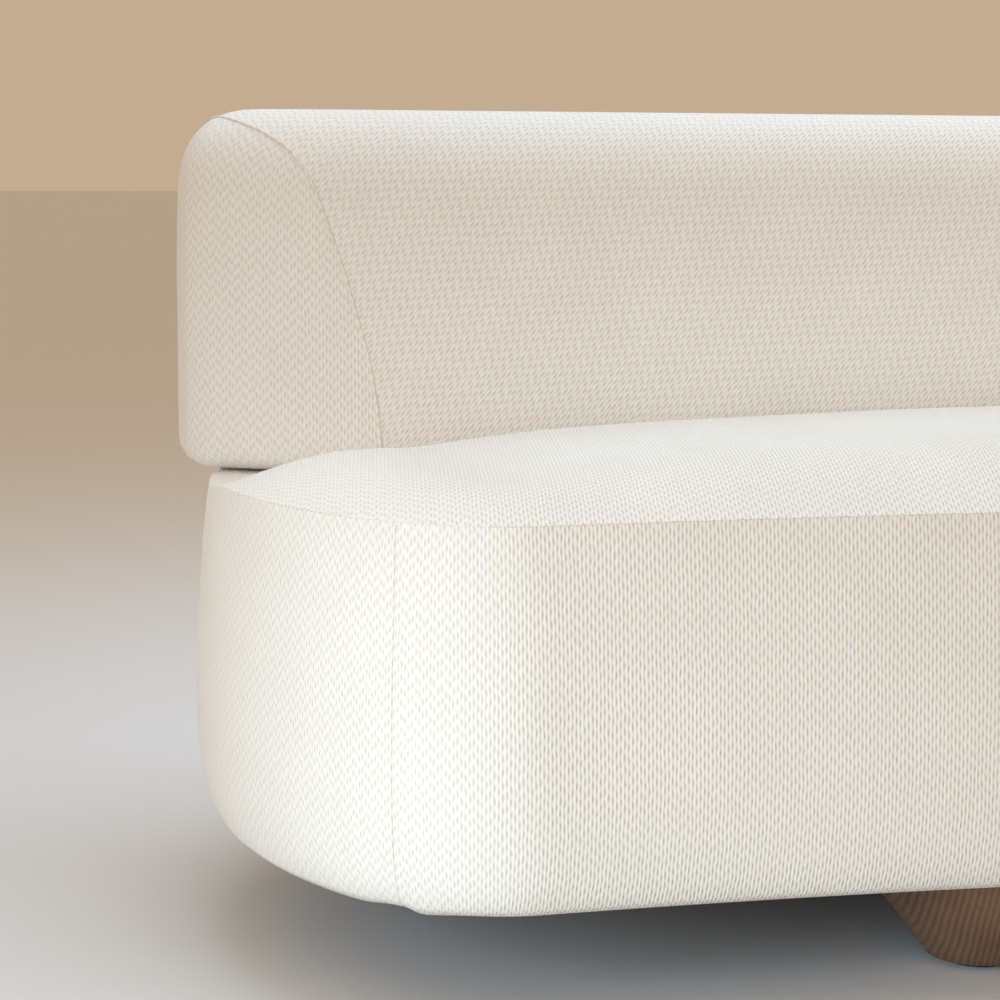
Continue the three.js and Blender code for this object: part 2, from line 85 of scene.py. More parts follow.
def to_linear(code):
    """An sRGB hex colour as linear light: c / 12.92 up to 0.04045, and above it
    ((c + 0.055) / 1.055)^2.4."""
    parts = np.array([int(code[i : i + 2], 16) for i in (1, 3, 5)]) / 255
    linear = np.where(parts <= 0.04045, parts / 12.92, ((parts + 0.055) / 1.055) ** 2.4)
    return tuple(float(x) for x in linear)


def colour(name, description, code):
    return FloatVectorProperty(
        name=name,
        description=description,
        default=to_linear(code),
        subtype="COLOR",
        size=3,
        min=0,
        max=1,
    )


class SofaPlan(bpy.types.PropertyGroup):
    """The bend of the sofa in plan."""

    curve_radius: length("Curve radius", "Radius of the seat's front face in plan", 4300)
    setback: length("Setback", "Distance that brings the footprint's middle to the origin", 390)


class SofaSeat(bpy.types.PropertyGroup):
    """Sizes of the upholstered seat."""

    half_length: length("Half length", "From the middle of the seat to its end, along the bend", 1135)
    front: length("Front", "Front face, behind the reference line", 0)
    rear: length("Rear", "Rear face, behind the reference line", 880)
    front_corner: length("Front corner", "Length of the rounded front corner along the bend", 205)
    rear_corner: length("Rear corner", "Length of the rounded rear corner along the bend", 420)
    tip_share: share("Tip", "How far back the end reaches furthest, as a share of the depth", 0.393)
    seam_height: length("Seam height", "Height of the seam round the top panel", 425)
    crown: length("Crown", "Rise of the top panel above its seam", 38)
    shelf: length("Shelf", "Height of the top panel where the back stands on it", 416)
    hem: length("Hem", "Width of the cover turned under the frame", 60)
    sag: length("Sag", "How far the bottom edge bags over its hem", 8)


class SofaBack(bpy.types.PropertyGroup):
    """Sizes of the bolster-like back."""

    half_length: length("Half length", "From the middle of the back to its end, along the bend", 1116)
    front: length("Front", "Front face at its foot, behind the reference line", 472)
    rear: length("Rear", "Rear face, behind the reference line", 860)
    front_corner: length("Front corner", "Length of the rounded front corner along the bend", 182)
    rear_corner: length("Rear corner", "Length of the rounded rear corner along the bend", 200)
    tip_share: share("Tip", "How far back the end reaches furthest, as a share of the depth", 0.227)
    rake: length("Rake", "Lean of the front face over its height", 30)
    top_radius: length("Top radius", "Radius of the rounded top edge", 76)
    bottom_radius: length("Bottom radius", "Radius of the rounded bottom edge", 24)
    crown: length("Crown", "Rise of the top between its rounded edges", 3)
    settle: length("Settle", "How much lower the top is at the middle than at the ends", 9)
    hem: length("Hem", "Width of the cover turned under the back", 60)


class SofaCloth(bpy.types.PropertyGroup):
    """The cover's cloth and the way it is sewn."""

    float_colour: colour("Floats", "Colour of the raised yarns", "#F4F2EC")
    # The gaps' colour is partly the ground yarn's own beige and partly painted shade in the slits
    # between the floats.
    ground_and_slit_shade_colour: colour("Gaps", "Colour of the ground between the raised yarns", "#E8DCCA")
    column: length("Column", "Spacing of the upright yarns", 3.37)
    row: length("Row", "Length of one repeat along a yarn", 10.7)
    thickness: length("Thickness", "Thickness of the cloth with its backing", 2)
    roll: length("Seam roll", "Radius of the fold into a seam", 1.0)
    rib: length("Seam rib", "Radius of the ridge along the seams of the back", 1.2)
    grid: length("Mesh", "Spacing of the mesh away from the seams", 11)


class SofaTimber(bpy.types.PropertyGroup):
    """The legs and the timber inside."""

    leg_s: length("Leg spacing", "Distance of a leg from the middle, along the bend", 504)
    front_leg: length("Front legs", "Distance of the front legs behind the reference line", 160)
    rear_leg: length("Rear legs", "Distance of the rear legs behind the reference line", 700)
    leg_top: length("Leg top", "Radius of a leg's top", 122)
    leg_foot: length("Leg foot", "Radius of a leg's foot", 45)
    walnut_light: colour("Walnut", "Colour of the walnut's early wood", "#8A6A52")
    walnut_dark: colour("Walnut grain", "Colour of the walnut's late wood", "#4C3526")
    beech_light: colour("Beech", "Colour of the beech", "#D8B78C")
    beech_dark: colour("Beech flecks", "Colour of the flecks in the beech", "#B98E60")


class SofaStage(bpy.types.PropertyGroup):
    """The floor, the lights and the camera."""

    floor: colour("Floor", "Colour of the plain floor", "#E9EBED")
    surround: colour("Surround", "Colour of the light from all round", "#FFE1BE")
    surround_power: FloatProperty(
        name="Surround power", description="Strength of the light from all round", default=0.55
    )
    lamp_power: FloatProperty(
        name="Lamp power", description="Scales the power of every lamp", default=1.0, min=0.0
    )
    lens: FloatProperty(
        name="Lens",
        description="Focal length in millimetres",
        default=95.74,
        subtype="DISTANCE_CAMERA",
    )


GROUPS = {
    "sofa_plan": SofaPlan,
    "sofa_seat": SofaSeat,
    "sofa_back": SofaBack,
    "sofa_cloth": SofaCloth,
    "sofa_timber": SofaTimber,
    "sofa_stage": SofaStage,
}


# ---- lines and grids -----------------------------------------------------------------------------
# Distances from a seam at which a panel's mesh is cut, closest where the cloth turns in.
SEAM_CUTS = np.array([0, 0.3, 0.8, 1.6, 3, 5, 8, 12, 18, 26]) * MM


def spaced(total, step, first, last):
    """Distances from 0 to total: about a step apart, and closer by the seams at either end."""
    inner = SEAM_CUTS[-1]
    low, high = inner if first else 0, total - inner if last else total
    even = np.linspace(low, high, max(int(round((high - low) / step)), 1) + 1)
    before = SEAM_CUTS[:-1] if first else []
    after = total - SEAM_CUTS[-2::-1] if last else []
    return np.concatenate([before, even, after])


def run_of(points):
    """Distance along a line of points: the running sum of the steps between them."""
    steps = np.linalg.norm(np.diff(points, axis=0), axis=-1)
    return np.concatenate([np.zeros_like(steps[:1]), np.cumsum(steps, axis=0)])


def smooth_line(knots, at=None, count=200):
    """Cubic pieces through the knots, each leaving a knot along its neighbours' chord:
    p = h00 p0 + h10 m0 + h01 p1 + h11 m1 with the Hermite weights of the share between knots."""
    knots = np.asarray(knots, float)
    run = run_of(knots)
    at = np.linspace(0, run[-1], count) if at is None else at
    slope = np.gradient(knots, run, axis=0)
    i = np.clip(np.searchsorted(run, at, side="right") - 1, 0, len(run) - 2)
    gap = (run[i + 1] - run[i])[:, None]
    t = (at - run[i])[:, None] / gap
    return (
        (2 * t**3 - 3 * t**2 + 1) * knots[i]
        + (t**3 - 2 * t**2 + t) * gap * slope[i]
        + (3 * t**2 - 2 * t**3) * knots[i + 1]
        + (t**3 - t**2) * gap * slope[i + 1]
    )


def smoothstep(x, low, high):
    """3t^2 - 2t^3, where t runs from 0 at low to 1 at high."""
    t = np.clip((x - low) / (high - low), 0, 1)
    return t * t * (3 - 2 * t)


def bend(plan, s, d, z):
    """The bent plan in space: x = (R + d) sin(s / R), y = (R + d) cos(s / R) - R - setback."""
    s, d, z = np.broadcast_arrays(s, d, z)
    angle, reach = s / plan.curve_radius, plan.curve_radius + d
    y = reach * np.cos(angle) - plan.curve_radius - plan.setback
    return np.stack([reach * np.sin(angle), y, z], axis=-1)


LEAST_CORNER = 8 * MM


def body_lines(body, inset, lean=0.0):
    """Half length, tip depth, front and rear edge, and both corner widths of a ring moved
    inwards."""
    half = body.half_length - inset
    front, rear = body.front + lean + inset, body.rear - inset
    tip = front + (rear - front) * body.tip_share
    widths = [np.maximum(w - inset, LEAST_CORNER) for w in (body.front_corner, body.rear_corner)]
    return half, tip, (front, rear), widths


def ring(body, turn, inset, lean=0.0):
    """Points of a ring at turn: 0 is the left tip, 0 to 1 the front left corner, 1 to 2 the front,
    3 the right tip, and so round to 6. A corner is a quarter of an ellipse."""
    turn = np.mod(turn, 6)
    angle = np.interp(turn, [0, 1, 2, 3, 4, 5, 6], np.radians([0, 90, 90, 0, 90, 90, 0]))
    along = np.interp(turn, [0, 1, 2, 3, 4, 5, 6], [-1, -1, 1, 1, 1, -1, -1])
    half, tip, edges, widths = body_lines(body, inset, lean)
    edge = np.where(turn > 3, edges[1], edges[0])
    width = np.where(turn > 3, widths[1], widths[0])
    s = along * (half - width) + np.sign(along) * width * np.cos(angle)
    return s, tip + (edge - tip) * np.sin(angle)


def edge_depth(body, s, inset, lean, rear):
    """Depth of the front or rear line at s: d = tip + (edge - tip) sqrt(1 - c^2), where c goes from
    0 to 1 round the corner."""
    half, tip, edges, widths = body_lines(body, inset, lean)
    edge, width = edges[int(rear)], widths[int(rear)]
    c = np.clip((np.abs(s) - (half - width)) / width, 0, 1)
    return tip + (edge - tip) * np.sqrt(1 - c * c)


def turns(plan, body, low, high, step, seams=True):
    """Turns between low and high, evenly spaced along the widest ring, closer by its end seams."""
    dense = np.linspace(low, high, 3000)
    run = run_of(bend(plan, *ring(body, dense, 0.0), 0.0))
    return np.interp(spaced(run[-1], step, seams, seams), run, dense)


def facing(grid, centre):
    """Unit normals of a grid of points, from the cross product of its two directions, turned away
    from the centre."""
    rows, columns = np.gradient(grid, axis=0), np.gradient(grid, axis=1)
    normal = np.cross(rows, columns)
    normal /= np.linalg.norm(normal, axis=-1, keepdims=True) + 1e-12
    return normal if np.sum(normal * (grid - centre)) > 0 else -normal


def distance_to(points, line):
    """Distance of each point from a line of straight pieces: to the nearest point of each piece,
    which is the end of it or the foot of the upright on it, and the least over the pieces."""
    a, ab = line[:-1], np.diff(line, axis=0)
    square = np.maximum((ab * ab).sum(1), 1e-12)
    near = []
    for row in points:
        ap = row[:, None] - a
        t = np.clip((ap * ab).sum(2) / square, 0, 1)
        near.append(np.sqrt(((ap - t[..., None] * ab) ** 2).sum(2).min(1)))
    return np.array(near)


def sewn(grid, centre, seams, cloth):
    """Folds a panel into its seams: within the roll the surface drops by r - sqrt(r^2 - (r - x)^2),
    a quarter round, where x is the distance from the seam. Beyond it small puckers die away."""
    normal = facing(grid, centre)
    near = np.min([distance_to(grid, seam) for seam in seams], axis=0)
    inner = np.clip(1 - near / cloth.roll, 0, 1)
    drop = cloth.roll * (1 - np.sqrt(1 - inner * inner))
    along = grid @ np.array([1.0, 0.83, 0.61])
    pucker = np.sin(along / 0.0071) * np.sin(along / 0.0163 + 1.3)
    depth = 0.35 * MM * np.exp(-near / 0.012) * np.clip(near / cloth.roll, 0, 1)
    return grid + normal * (pucker * depth - drop)[..., None]


def make_piece(name, grids, centre, thickness=0.0):
    """One mesh from (points, flat) grids, each turned to face away from the centre, sewn where they
    meet. flat holds the cloth's own coordinates in metres. A thickness is added inwards, so the piece
    is closed."""
    points, flats, faces, start = [], [], [], 0
    for grid, flat in grids:
        rows, columns = grid.shape[:2]
        index = start + np.arange(rows * columns).reshape(rows, columns)
        quads = np.stack([index[:-1, :-1], index[:-1, 1:], index[1:, 1:], index[1:, :-1]], -1)
        across = np.cross(grid[1:, 1:] - grid[:-1, :-1], grid[1:, :-1] - grid[:-1, 1:])
        middle = (grid[1:, 1:] + grid[:-1, :-1]) / 2 - centre
        quads = quads.reshape(-1, 4)
        faces.append(quads if np.sum(across * middle) > 0 else quads[:, ::-1])
        points.append(grid.reshape(-1, 3))
        flats.append(flat.reshape(-1, 2))
        start += rows * columns
    quads = np.concatenate(faces)
    mesh = bpy.data.meshes.new(name)
    mesh.from_pydata(np.concatenate(points).tolist(), [], quads.tolist())
    layer = mesh.uv_layers.new(name="cloth")
    layer.data.foreach_set("uv", np.concatenate(flats)[quads.ravel()].astype(np.float32).ravel())
    shell = bmesh.new()
    shell.from_mesh(mesh)
    bmesh.ops.remove_doubles(shell, verts=shell.verts, dist=0.02 * MM)
    shell.to_mesh(mesh)
    shell.free()
    # An edge with one face is on the rim, and stays sharp.
    sides = np.empty(len(mesh.loops), np.int32)
    mesh.loops.foreach_get("edge_index", sides)
    rim = np.bincount(sides, minlength=len(mesh.edges)) == 1
    mesh.edges.foreach_set("use_edge_sharp", rim)
    mesh.polygons.foreach_set("use_smooth", np.ones(len(mesh.polygons), bool))
    piece = bpy.data.objects.new(name, mesh)
    bpy.context.scene.collection.objects.link(piece)
    if thickness:
        wall = piece.modifiers.new("thickness", "SOLIDIFY")
        wall.thickness, wall.offset = thickness, -1
    return piece


def dress(piece, material, slot, *nodes, fill=None):
    """Finishes a piece: its material and the solids it stands for, which it hides. The slot is not
    used. The fill is not used.
    """
    piece.data.materials.append(bpy.data.materials[material])
    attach(piece, "root")
    if nodes:
        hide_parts(*nodes)


# ---- seat ----------------------------------------------------------------------------------------
# The side of the seat from its hem to its top seam, as (inset, height) in millimetres.
SEAT_SIDE = [
    (60, 105),
    (44, 105),
    (32, 105),
    (25, 106),
    (19, 110),
    (12, 122),
    (5, 148),
    (0.5, 195),
    (1, 250),
    (4, 310),
    (8, 370),
    (12.5, 414),
    (14, 425),
]
SEAT_SEAM_INSET = 14 * MM
CROWN_REACH = 200 * MM
SEAM_TURN = 0.622  # of the upright seams round each corner
SEAT_CENTRE = np.array([0, 0.05, 0.28])


def crown_height(seat, inset):
    """Height of the top panel by its distance inside the seam: a rise that flattens out,
    z = seam + crown (1 - (1 - t)^2.6)."""
    t = np.clip((inset - 13 * MM) / CROWN_REACH, 0, 1)
    return seat.seam_height + seat.crown * (1 - (1 - t) ** 2.6)


# How far the top panel's crest lies above its even crown, as (distance from the middle, rise) in
# millimetres: pressed down where it rolls to the end, and fuller towards the middle.
CREST = [
    (0, 14),
    (350, 12),
    (509, 9.2),
    (597, 6.2),
    (684, 3.4),
    (773, -0.5),
    (817, -3.4),
    (861, -7.8),
    (905, -10.5),
    (949, -11.5),
    (993, -6.5),
    (1038, 0),
    (1135, 0),
]


def crest_rise(s):
    """Rise of the crest at s, along a smooth line through its knots."""
    line = smooth_line(np.array(CREST) * MM)
    return np.interp(np.abs(s), line[:, 0], line[:, 1])


def shelf_share(s, d):
    """0 in front of the shelf that the back stands on and 1 on it. Its edge lies further forward
    towards the ends, where the top panel rolls down."""
    end = smoothstep(np.abs(s), 0.85, 1.05)
    low, high = 0.430 + end * (0.320 - 0.430), 0.486 + end * (0.440 - 0.486)
    return smoothstep(d, low, high)


def seat_seam_line(context):
    """The seam round the top panel as a closed line of points."""
    scene = context.scene
    turn = turns(scene.sofa_plan, scene.sofa_seat, 0, 6, 6 * MM, seams=False)
    s, d = ring(scene.sofa_seat, turn, SEAT_SEAM_INSET)
    z = scene.sofa_seat.seam_height
    z = z - (z - scene.sofa_seat.shelf) * shelf_share(s, d)
    return bend(scene.sofa_plan, s, d, z)


def seat_side(context, low, high, is_end):
    """Grid of the seat's side between two turns: the side's profile carried round the ring, with
    the cloth's coordinates as the distances along the two. The bottom edge bags by the sag
    times a bell 9 mm wide round the turn of the cloth. Beside an upright seam the long panels bag
    further than the ends: they rise over 26 mm and die away along a bell 45 mm wide."""
    plan, seat, cloth = context.scene.sofa_plan, context.scene.sofa_seat, context.scene.sofa_cloth
    knots = np.array(SEAT_SIDE) * MM
    up = spaced(run_of(knots)[-1], cloth.grid, False, True)
    profile = smooth_line(knots, at=up)
    turn = turns(plan, seat, low, high, cloth.grid)
    inset, z = profile[:, :1], profile[:, 1:]
    s, d = ring(seat, turn, inset)
    late = ((z - SEAT_LOW.z) / (seat.seam_height - SEAT_LOW.z)) ** 4
    z = z - (seat.seam_height - seat.shelf) * late * shelf_share(s, d)
    across = run_of(bend(plan, *ring(seat, turn, 0.0), 0.0))
    from_seam = np.minimum(across, across[-1] - across)
    if is_end:
        bag = 0.35 + 0.4 * smoothstep(from_seam, 0.010, 0.050)
    else:
        bag = 0.35 + 0.7 * smoothstep(from_seam, 0, 0.026) * np.exp(-((from_seam / 0.045) ** 2))
    z = z - seat.sag * bag * np.exp(-(((inset - 0.024) / 0.009) ** 2)) * (z < 0.2)
    grid = bend(plan, s, d, z)
    return grid, np.stack(np.broadcast_arrays(across[None], up[:, None]), -1)


def side_seams(grid):
    """The three seamed edges of a side panel: both upright ones and the top one."""
    return [grid[:, 0], grid[:, -1], grid[-1]]


class SOFA_OT_seat_sides(bpy.types.Operator):
    """Sews the front, the rear and the two end panels of the seat"""

    bl_idname = "sofa.seat_sides"
    bl_label = "Seat sides"

    def execute(self, context):
        cloth = context.scene.sofa_cloth
        spans = {
            "front": (SEAM_TURN, 3 - SEAM_TURN),
            "right_end": (3 - SEAM_TURN, 3 + SEAM_TURN),
            "rear": (3 + SEAM_TURN, 6 - SEAM_TURN),
            "left_end": (6 - SEAM_TURN, 6 + SEAM_TURN),
        }
        for side, (low, high) in spans.items():
            grid, flat = seat_side(context, low, high, side.endswith("end"))
            sewn_grid = sewn(grid, SEAT_CENTRE, side_seams(grid), cloth)
            piece = make_piece(
                f"seat_cover_{side}", [(sewn_grid, flat)], SEAT_CENTRE, cloth.thickness
            )
            dress(piece, "woven_cover_cloth", "cover_weave", "seat_cover", fill=0.9)
        return {"FINISHED"}


class SOFA_OT_seat_top(bpy.types.Operator):
    """Sews the crowned top panel of the seat, which sinks to a shelf under the back"""

    bl_idname = "sofa.seat_top"
    bl_label = "Seat top"

    def execute(self, context):
        plan, seat, cloth = (
            context.scene.sofa_plan,
            context.scene.sofa_seat,
            context.scene.sofa_cloth,
        )
        inner = 13 * MM + CROWN_REACH
        inset = SEAT_SEAM_INSET + spaced(inner - SEAT_SEAM_INSET, cloth.grid, True, False)[:, None]
        ahead = turns(plan, seat, 0, 3, cloth.grid, seams=False)
        around = np.concatenate([ahead, 6 - ahead[-2::-1]])

        def height(s, d, z):
            z = z + crest_rise(s) * ((z - seat.seam_height) / seat.crown) ** 2
            return z - np.maximum(z - seat.shelf, 0) * shelf_share(s, d)

        s, d = ring(seat, around, inset)
        edge = bend(plan, s, d, height(s, d, crown_height(seat, inset)))
        front, rear = ring(seat, ahead, inner), ring(seat, 6 - ahead, inner)
        share_back = np.linspace(0, 1, 46)[:, None]
        s = front[0] + (rear[0] - front[0]) * share_back
        d = front[1] + (rear[1] - front[1]) * share_back
        middle = bend(plan, s, d, height(s, d, crown_height(seat, inner)))
        seams = [seat_seam_line(context)]
        grids = [(g, g[..., :2]) for g in (sewn(edge, SEAT_CENTRE, seams, cloth), middle)]
        piece = make_piece("seat_cover_top", grids, SEAT_CENTRE - [0, 0, 5], cloth.thickness)
        # The panel is the padded top of the seat, so its foam goes with it.
        solids = "seat_cover", "seat_top_foam"
        dress(piece, "woven_cover_cloth", "cover_weave", *solids, fill=0.8)
        return {"FINISHED"}


# ---- back ----------------------------------------------------------------------------------------
# Course of the seam between the end panel and the main panel of the back: height, and how far the
# seam lies inside the end of the ring at that height, in millimetres. It closes over the end.
END_SEAM = [
    (418, 158),
    (442, 157),
    (496, 152.6),
    (532, 147),
    (567, 138.6),
    (596, 131.9),
    (632, 121.5),
    (667, 110.5),
    (691, 102),
    (723, 77.4),
    (738, 52),
    (748, 27),
    (756, 0),
]
BACK_CENTRE = np.array([0, 0.27, 0.58])
BACK_UPRIGHT = 560 * MM  # height of a point on the upright of the back's side


def back_rows(back, spacing):
    """The back's side from its hem to its top as rows of (distance, inset, height): a flat hem, a
    quarter round, an upright, and a bigger quarter round. A row lies where the end seam closes."""
    low, high = BACK_LOW.z, BACK_HIGH.z
    small, big = back.bottom_radius, back.top_radius
    a = np.radians(np.linspace(0, 90, 40))
    inset = np.concatenate(
        [[back.hem], small * (1 - np.sin(a)), [0], big * (1 - np.cos(a))]
    )
    z = np.concatenate(
        [[low], low + small * (1 - np.cos(a)), [BACK_UPRIGHT], high - big * (1 - np.sin(a))]
    )
    run = run_of(np.stack([inset, z], -1))
    closing = np.interp(END_SEAM[-1][0] * MM, z, run)
    below = spaced(closing, spacing, False, True)
    above = closing + spaced(run[-1] - closing, spacing, True, False)[1:]
    at = np.concatenate([below, above])
    return at, np.interp(at, run, inset), np.interp(at, run, z), closing


def end_seam_inside(z):
    """How far the end seam lies inside the end of the ring at a height."""
    line = smooth_line(np.array(END_SEAM) * MM)
    return np.maximum(np.interp(z, line[:, 0], line[:, 1]), 0)


def back_lean(back, z):
    """Lean of the front face at a height, which grows evenly from its foot."""
    return back.rake * (z - BACK_LOW.z) / (BACK_HIGH.z - BACK_LOW.z)


# How far the ends of the back are drawn in, as (height, distance) in millimetres.
END_TUCK = [(418, 1), (450, 2), (600, 3.5), (660, 5), (700, 7), (720, 6), (740, 3), (764, 0)]


def bend_back(context, s, d, z):
    """The bent plan for the back. Its ends are drawn in by the tuck at their height, and its top
    sinks evenly towards the middle, by the settle times the square of the share of the height."""
    back = context.scene.sofa_back
    tuck = np.interp(z, *(np.array(END_TUCK).T * MM))
    high = (z - BACK_LOW.z) / (BACK_HIGH.z - BACK_LOW.z)
    along = np.clip(1 - np.abs(s) / 1.06, 0, 1)
    s = s - np.sign(s) * tuck * smoothstep(np.abs(s), 0.95, 1.10)
    return bend(context.scene.sofa_plan, s, d, z - back.settle * along * high**2)


def back_seam_line(context, side):
    """The seam round one end panel: up the front face, over the end and down the rear face."""
    back = context.scene.sofa_back
    at, inset, z, closing = back_rows(back, 4 * MM)
    keep = at <= closing + 1e-9
    inset, z = inset[keep], z[keep]
    s = back.half_length - inset - end_seam_inside(z)
    lean = back_lean(back, z)
    lines = [
        bend_back(context, side * s, edge_depth(back, s, inset, lean, rear), z)
        for rear in (False, True)
    ]
    return np.concatenate([lines[0], lines[1][-2::-1]])


class SOFA_OT_back_main(bpy.types.Operator):
    """Sews the back's main panel, which runs up the front, over the top and down the rear"""

    bl_idname = "sofa.back_main"
    bl_label = "Back main panel"

    def execute(self, context):
        back, cloth = context.scene.sofa_back, context.scene.sofa_cloth
        _, inset, z, _ = back_rows(back, cloth.grid)
        inset, z = inset[:, None], z[:, None]
        reach = back.half_length - inset - end_seam_inside(z)
        cuts = spaced(2 * back.half_length, cloth.grid, True, True) / back.half_length - 1
        s = reach * cuts
        lean = back_lean(back, z)
        front = edge_depth(back, s, inset, lean, rear=False)
        rear = edge_depth(back, s, inset, lean, rear=True)
        over = np.linspace(0, 1, 20)[1:-1, None]
        top_d = front[-1] + (rear[-1] - front[-1]) * over
        top_z = z[-1] + back.crown * 4 * over * (1 - over) * np.sqrt(1 - cuts**2)
        grid = np.concatenate(
            [
                bend_back(context, s, front, z),
                bend_back(context, np.broadcast_to(s[-1], top_d.shape), top_d, top_z),
                bend_back(context, s, rear, z)[::-1],
            ]
        )
        middle = grid.shape[1] // 2
        path = run_of(grid[:, middle])[:, None]
        across = np.concatenate([s, np.broadcast_to(s[-1], top_d.shape), s[::-1]])
        flat = np.stack(np.broadcast_arrays(across, path), -1)
        seams = [back_seam_line(context, side) for side in (-1, 1)]
        piece = make_piece(
            "back_cover_main",
            [(sewn(grid, BACK_CENTRE, seams, cloth), on_bias(flat))],
            BACK_CENTRE,
            cloth.thickness,
        )
        # The panel is the padded back, so its foam goes with it.
        solids = "back_cover", "back_foam"
        dress(piece, "woven_cover_cloth", "cover_weave", *solids, fill=0.8)
        return {"FINISHED"}


BIAS_ANGLE = math.radians(38)


def on_bias(flat):
    """Turns the cloth's coordinates, for a panel that is cut at an angle to the weave."""
    c, s = math.cos(BIAS_ANGLE), math.sin(BIAS_ANGLE)
    return flat @ np.array([[c, s], [-s, c]])


class SOFA_OT_back_ends(bpy.types.Operator):
    """Sews the rounded end panels of the back and the ridged seam round each"""

    bl_idname = "sofa.back_ends"
    bl_label = "Back ends"

    def execute(self, context):
        plan, back, cloth = (
            context.scene.sofa_plan,
            context.scene.sofa_back,
            context.scene.sofa_cloth,
        )
        at, inset, z, closing = back_rows(back, cloth.grid)
        keep = at <= closing + 1e-9
        up, inset, z = at[keep], inset[keep][:, None], z[keep][:, None]
        inside, lean = end_seam_inside(z), back_lean(back, z)
        cuts = spaced(1.0, cloth.grid / 0.3, True, False)
        swing = np.radians(90) * (1 - cuts)
        s = back.half_length - inset - inside * (1 - np.cos(swing))
        lines = [edge_depth(back, s, inset, lean, rear) for rear in (False, True)]
        depth = np.concatenate([lines[0], lines[1][:, -2::-1]], axis=1)
        along = np.concatenate([s, s[:, -2::-1]], axis=1)
        for name, side in (("left", -1), ("right", 1)):
            grid = bend_back(context, side * along, depth, z)
            across = run_of(grid.swapaxes(0, 1)).T
            across = across - across[:, [len(cuts) - 1]]
            flat = np.stack(np.broadcast_arrays(across, up[:, None]), -1)
            seam = back_seam_line(context, side)
            centre = BACK_CENTRE + [side, 0, 0]
            piece = make_piece(
                f"back_cover_{name}_end",
                [(sewn(grid, centre, [seam], cloth), flat)],
                centre,
                cloth.thickness,
            )
            dress(piece, "woven_cover_cloth", "cover_weave", "back_cover", fill=0.8)
            rib = tube(seam, cloth.rib, centre, cloth.column / 2)
            piece = make_piece(f"back_seam_{name}", [rib], centre)
            dress(piece, "woven_cover_cloth", "cover_weave")
        return {"FINISHED"}


def tube(line, radius, centre, plain, sides=10):
    """A round ridge along a line: circles square to it, joined in order. It closes at both ends.
    It stands proud of the line by half its radius. The cloth's first coordinate stays at plain,
    on a float."""
    ahead = np.gradient(line, axis=0)
    ahead /= np.linalg.norm(ahead, axis=1, keepdims=True)
    out = line - centre
    out -= (out * ahead).sum(1)[:, None] * ahead
    out /= np.linalg.norm(out, axis=1, keepdims=True)
    beside = np.cross(ahead, out)
    line = line + out * radius / 2
    angle = np.linspace(0, 2 * np.pi, sides + 1)[:, None]
    size = np.full(len(line), radius)
    size[[0, -1]] = 0
    circle = out[:, None] * np.cos(angle) + beside[:, None] * np.sin(angle)
    grid = line[:, None] + circle * size[:, None, None]
    flat = np.stack(np.broadcast_arrays(plain, run_of(line)[:, None], angle[:, 0])[:2], -1)
    return grid, flat


# ---- what is under the seat ----------------------------------------------------------------------
class SOFA_OT_dust_cover(bpy.types.Operator):
    """Stretches the black dust cloth under the seat, a little slack between its staples"""

    bl_idname = "sofa.dust_cover"
    bl_label = "Dust cover"

    def execute(self, context):
        plan, seat, timber = (
            context.scene.sofa_plan,
            context.scene.sofa_seat,
            context.scene.sofa_timber,
        )
        inset = seat.hem + 1 * MM
        ahead = turns(plan, seat, 0, 3, 12 * MM, seams=False)
        front, rear = ring(seat, ahead, inset), ring(seat, 6 - ahead, inset)
        share_back = np.linspace(0, 1, 60)[:, None]
        s = front[0] + (rear[0] - front[0]) * share_back
        d = front[1] + (rear[1] - front[1]) * share_back
        edge = np.minimum.reduce([d - front[1], rear[1] - d, seat.half_length - inset - np.abs(s)])
        slack = smoothstep(edge, 0, 0.12)
        for depth in (timber.front_leg, timber.rear_leg):
            gap = np.hypot(np.abs(s) - timber.leg_s, d - depth) - timber.leg_top
            slack = slack * smoothstep(gap, 0.01, 0.12)
        by_hem = smoothstep(edge, 0, 0.02) * (1 - smoothstep(edge, 0.02, 0.07))
        tug = 0.25 * np.sin(s / 0.021) * by_hem
        low = SEAT_LOW.z + 0.6 * MM
        z = low - 4 * MM * slack + 1.2 * MM * np.abs(tug)
        grid = bend(plan, s, d, z)
        centre = np.array([0, 0, 1.0])
        piece = make_piece("dust_cloth", [(grid, grid[..., :2])], centre, 0.8 * MM)
        dress(piece, "black_cambric", "dust_cloth", "dust_cover")
        return {"FINISHED"}


# ---- legs ----------------------------------------------------------------------------------------
BOLT_BORE = 5.4 * MM
BORE_BOTTOM = 55 * MM
LEG_SIDES = 128


def rounded(corner, before, after, radius, steps=6):
    """A rounded arris: the curve (1-t)^2 a + 2t(1-t) corner + t^2 b between points a radius
    away."""
    corner, before, after = (np.array(p, float) for p in (corner, before, after))
    a = corner + (before - corner) / np.linalg.norm(before - corner) * radius
    b = corner + (after - corner) / np.linalg.norm(after - corner) * radius
    t = np.linspace(0, 1, steps)[:, None]
    return (1 - t) ** 2 * a + 2 * t * (1 - t) * corner + t * t * b


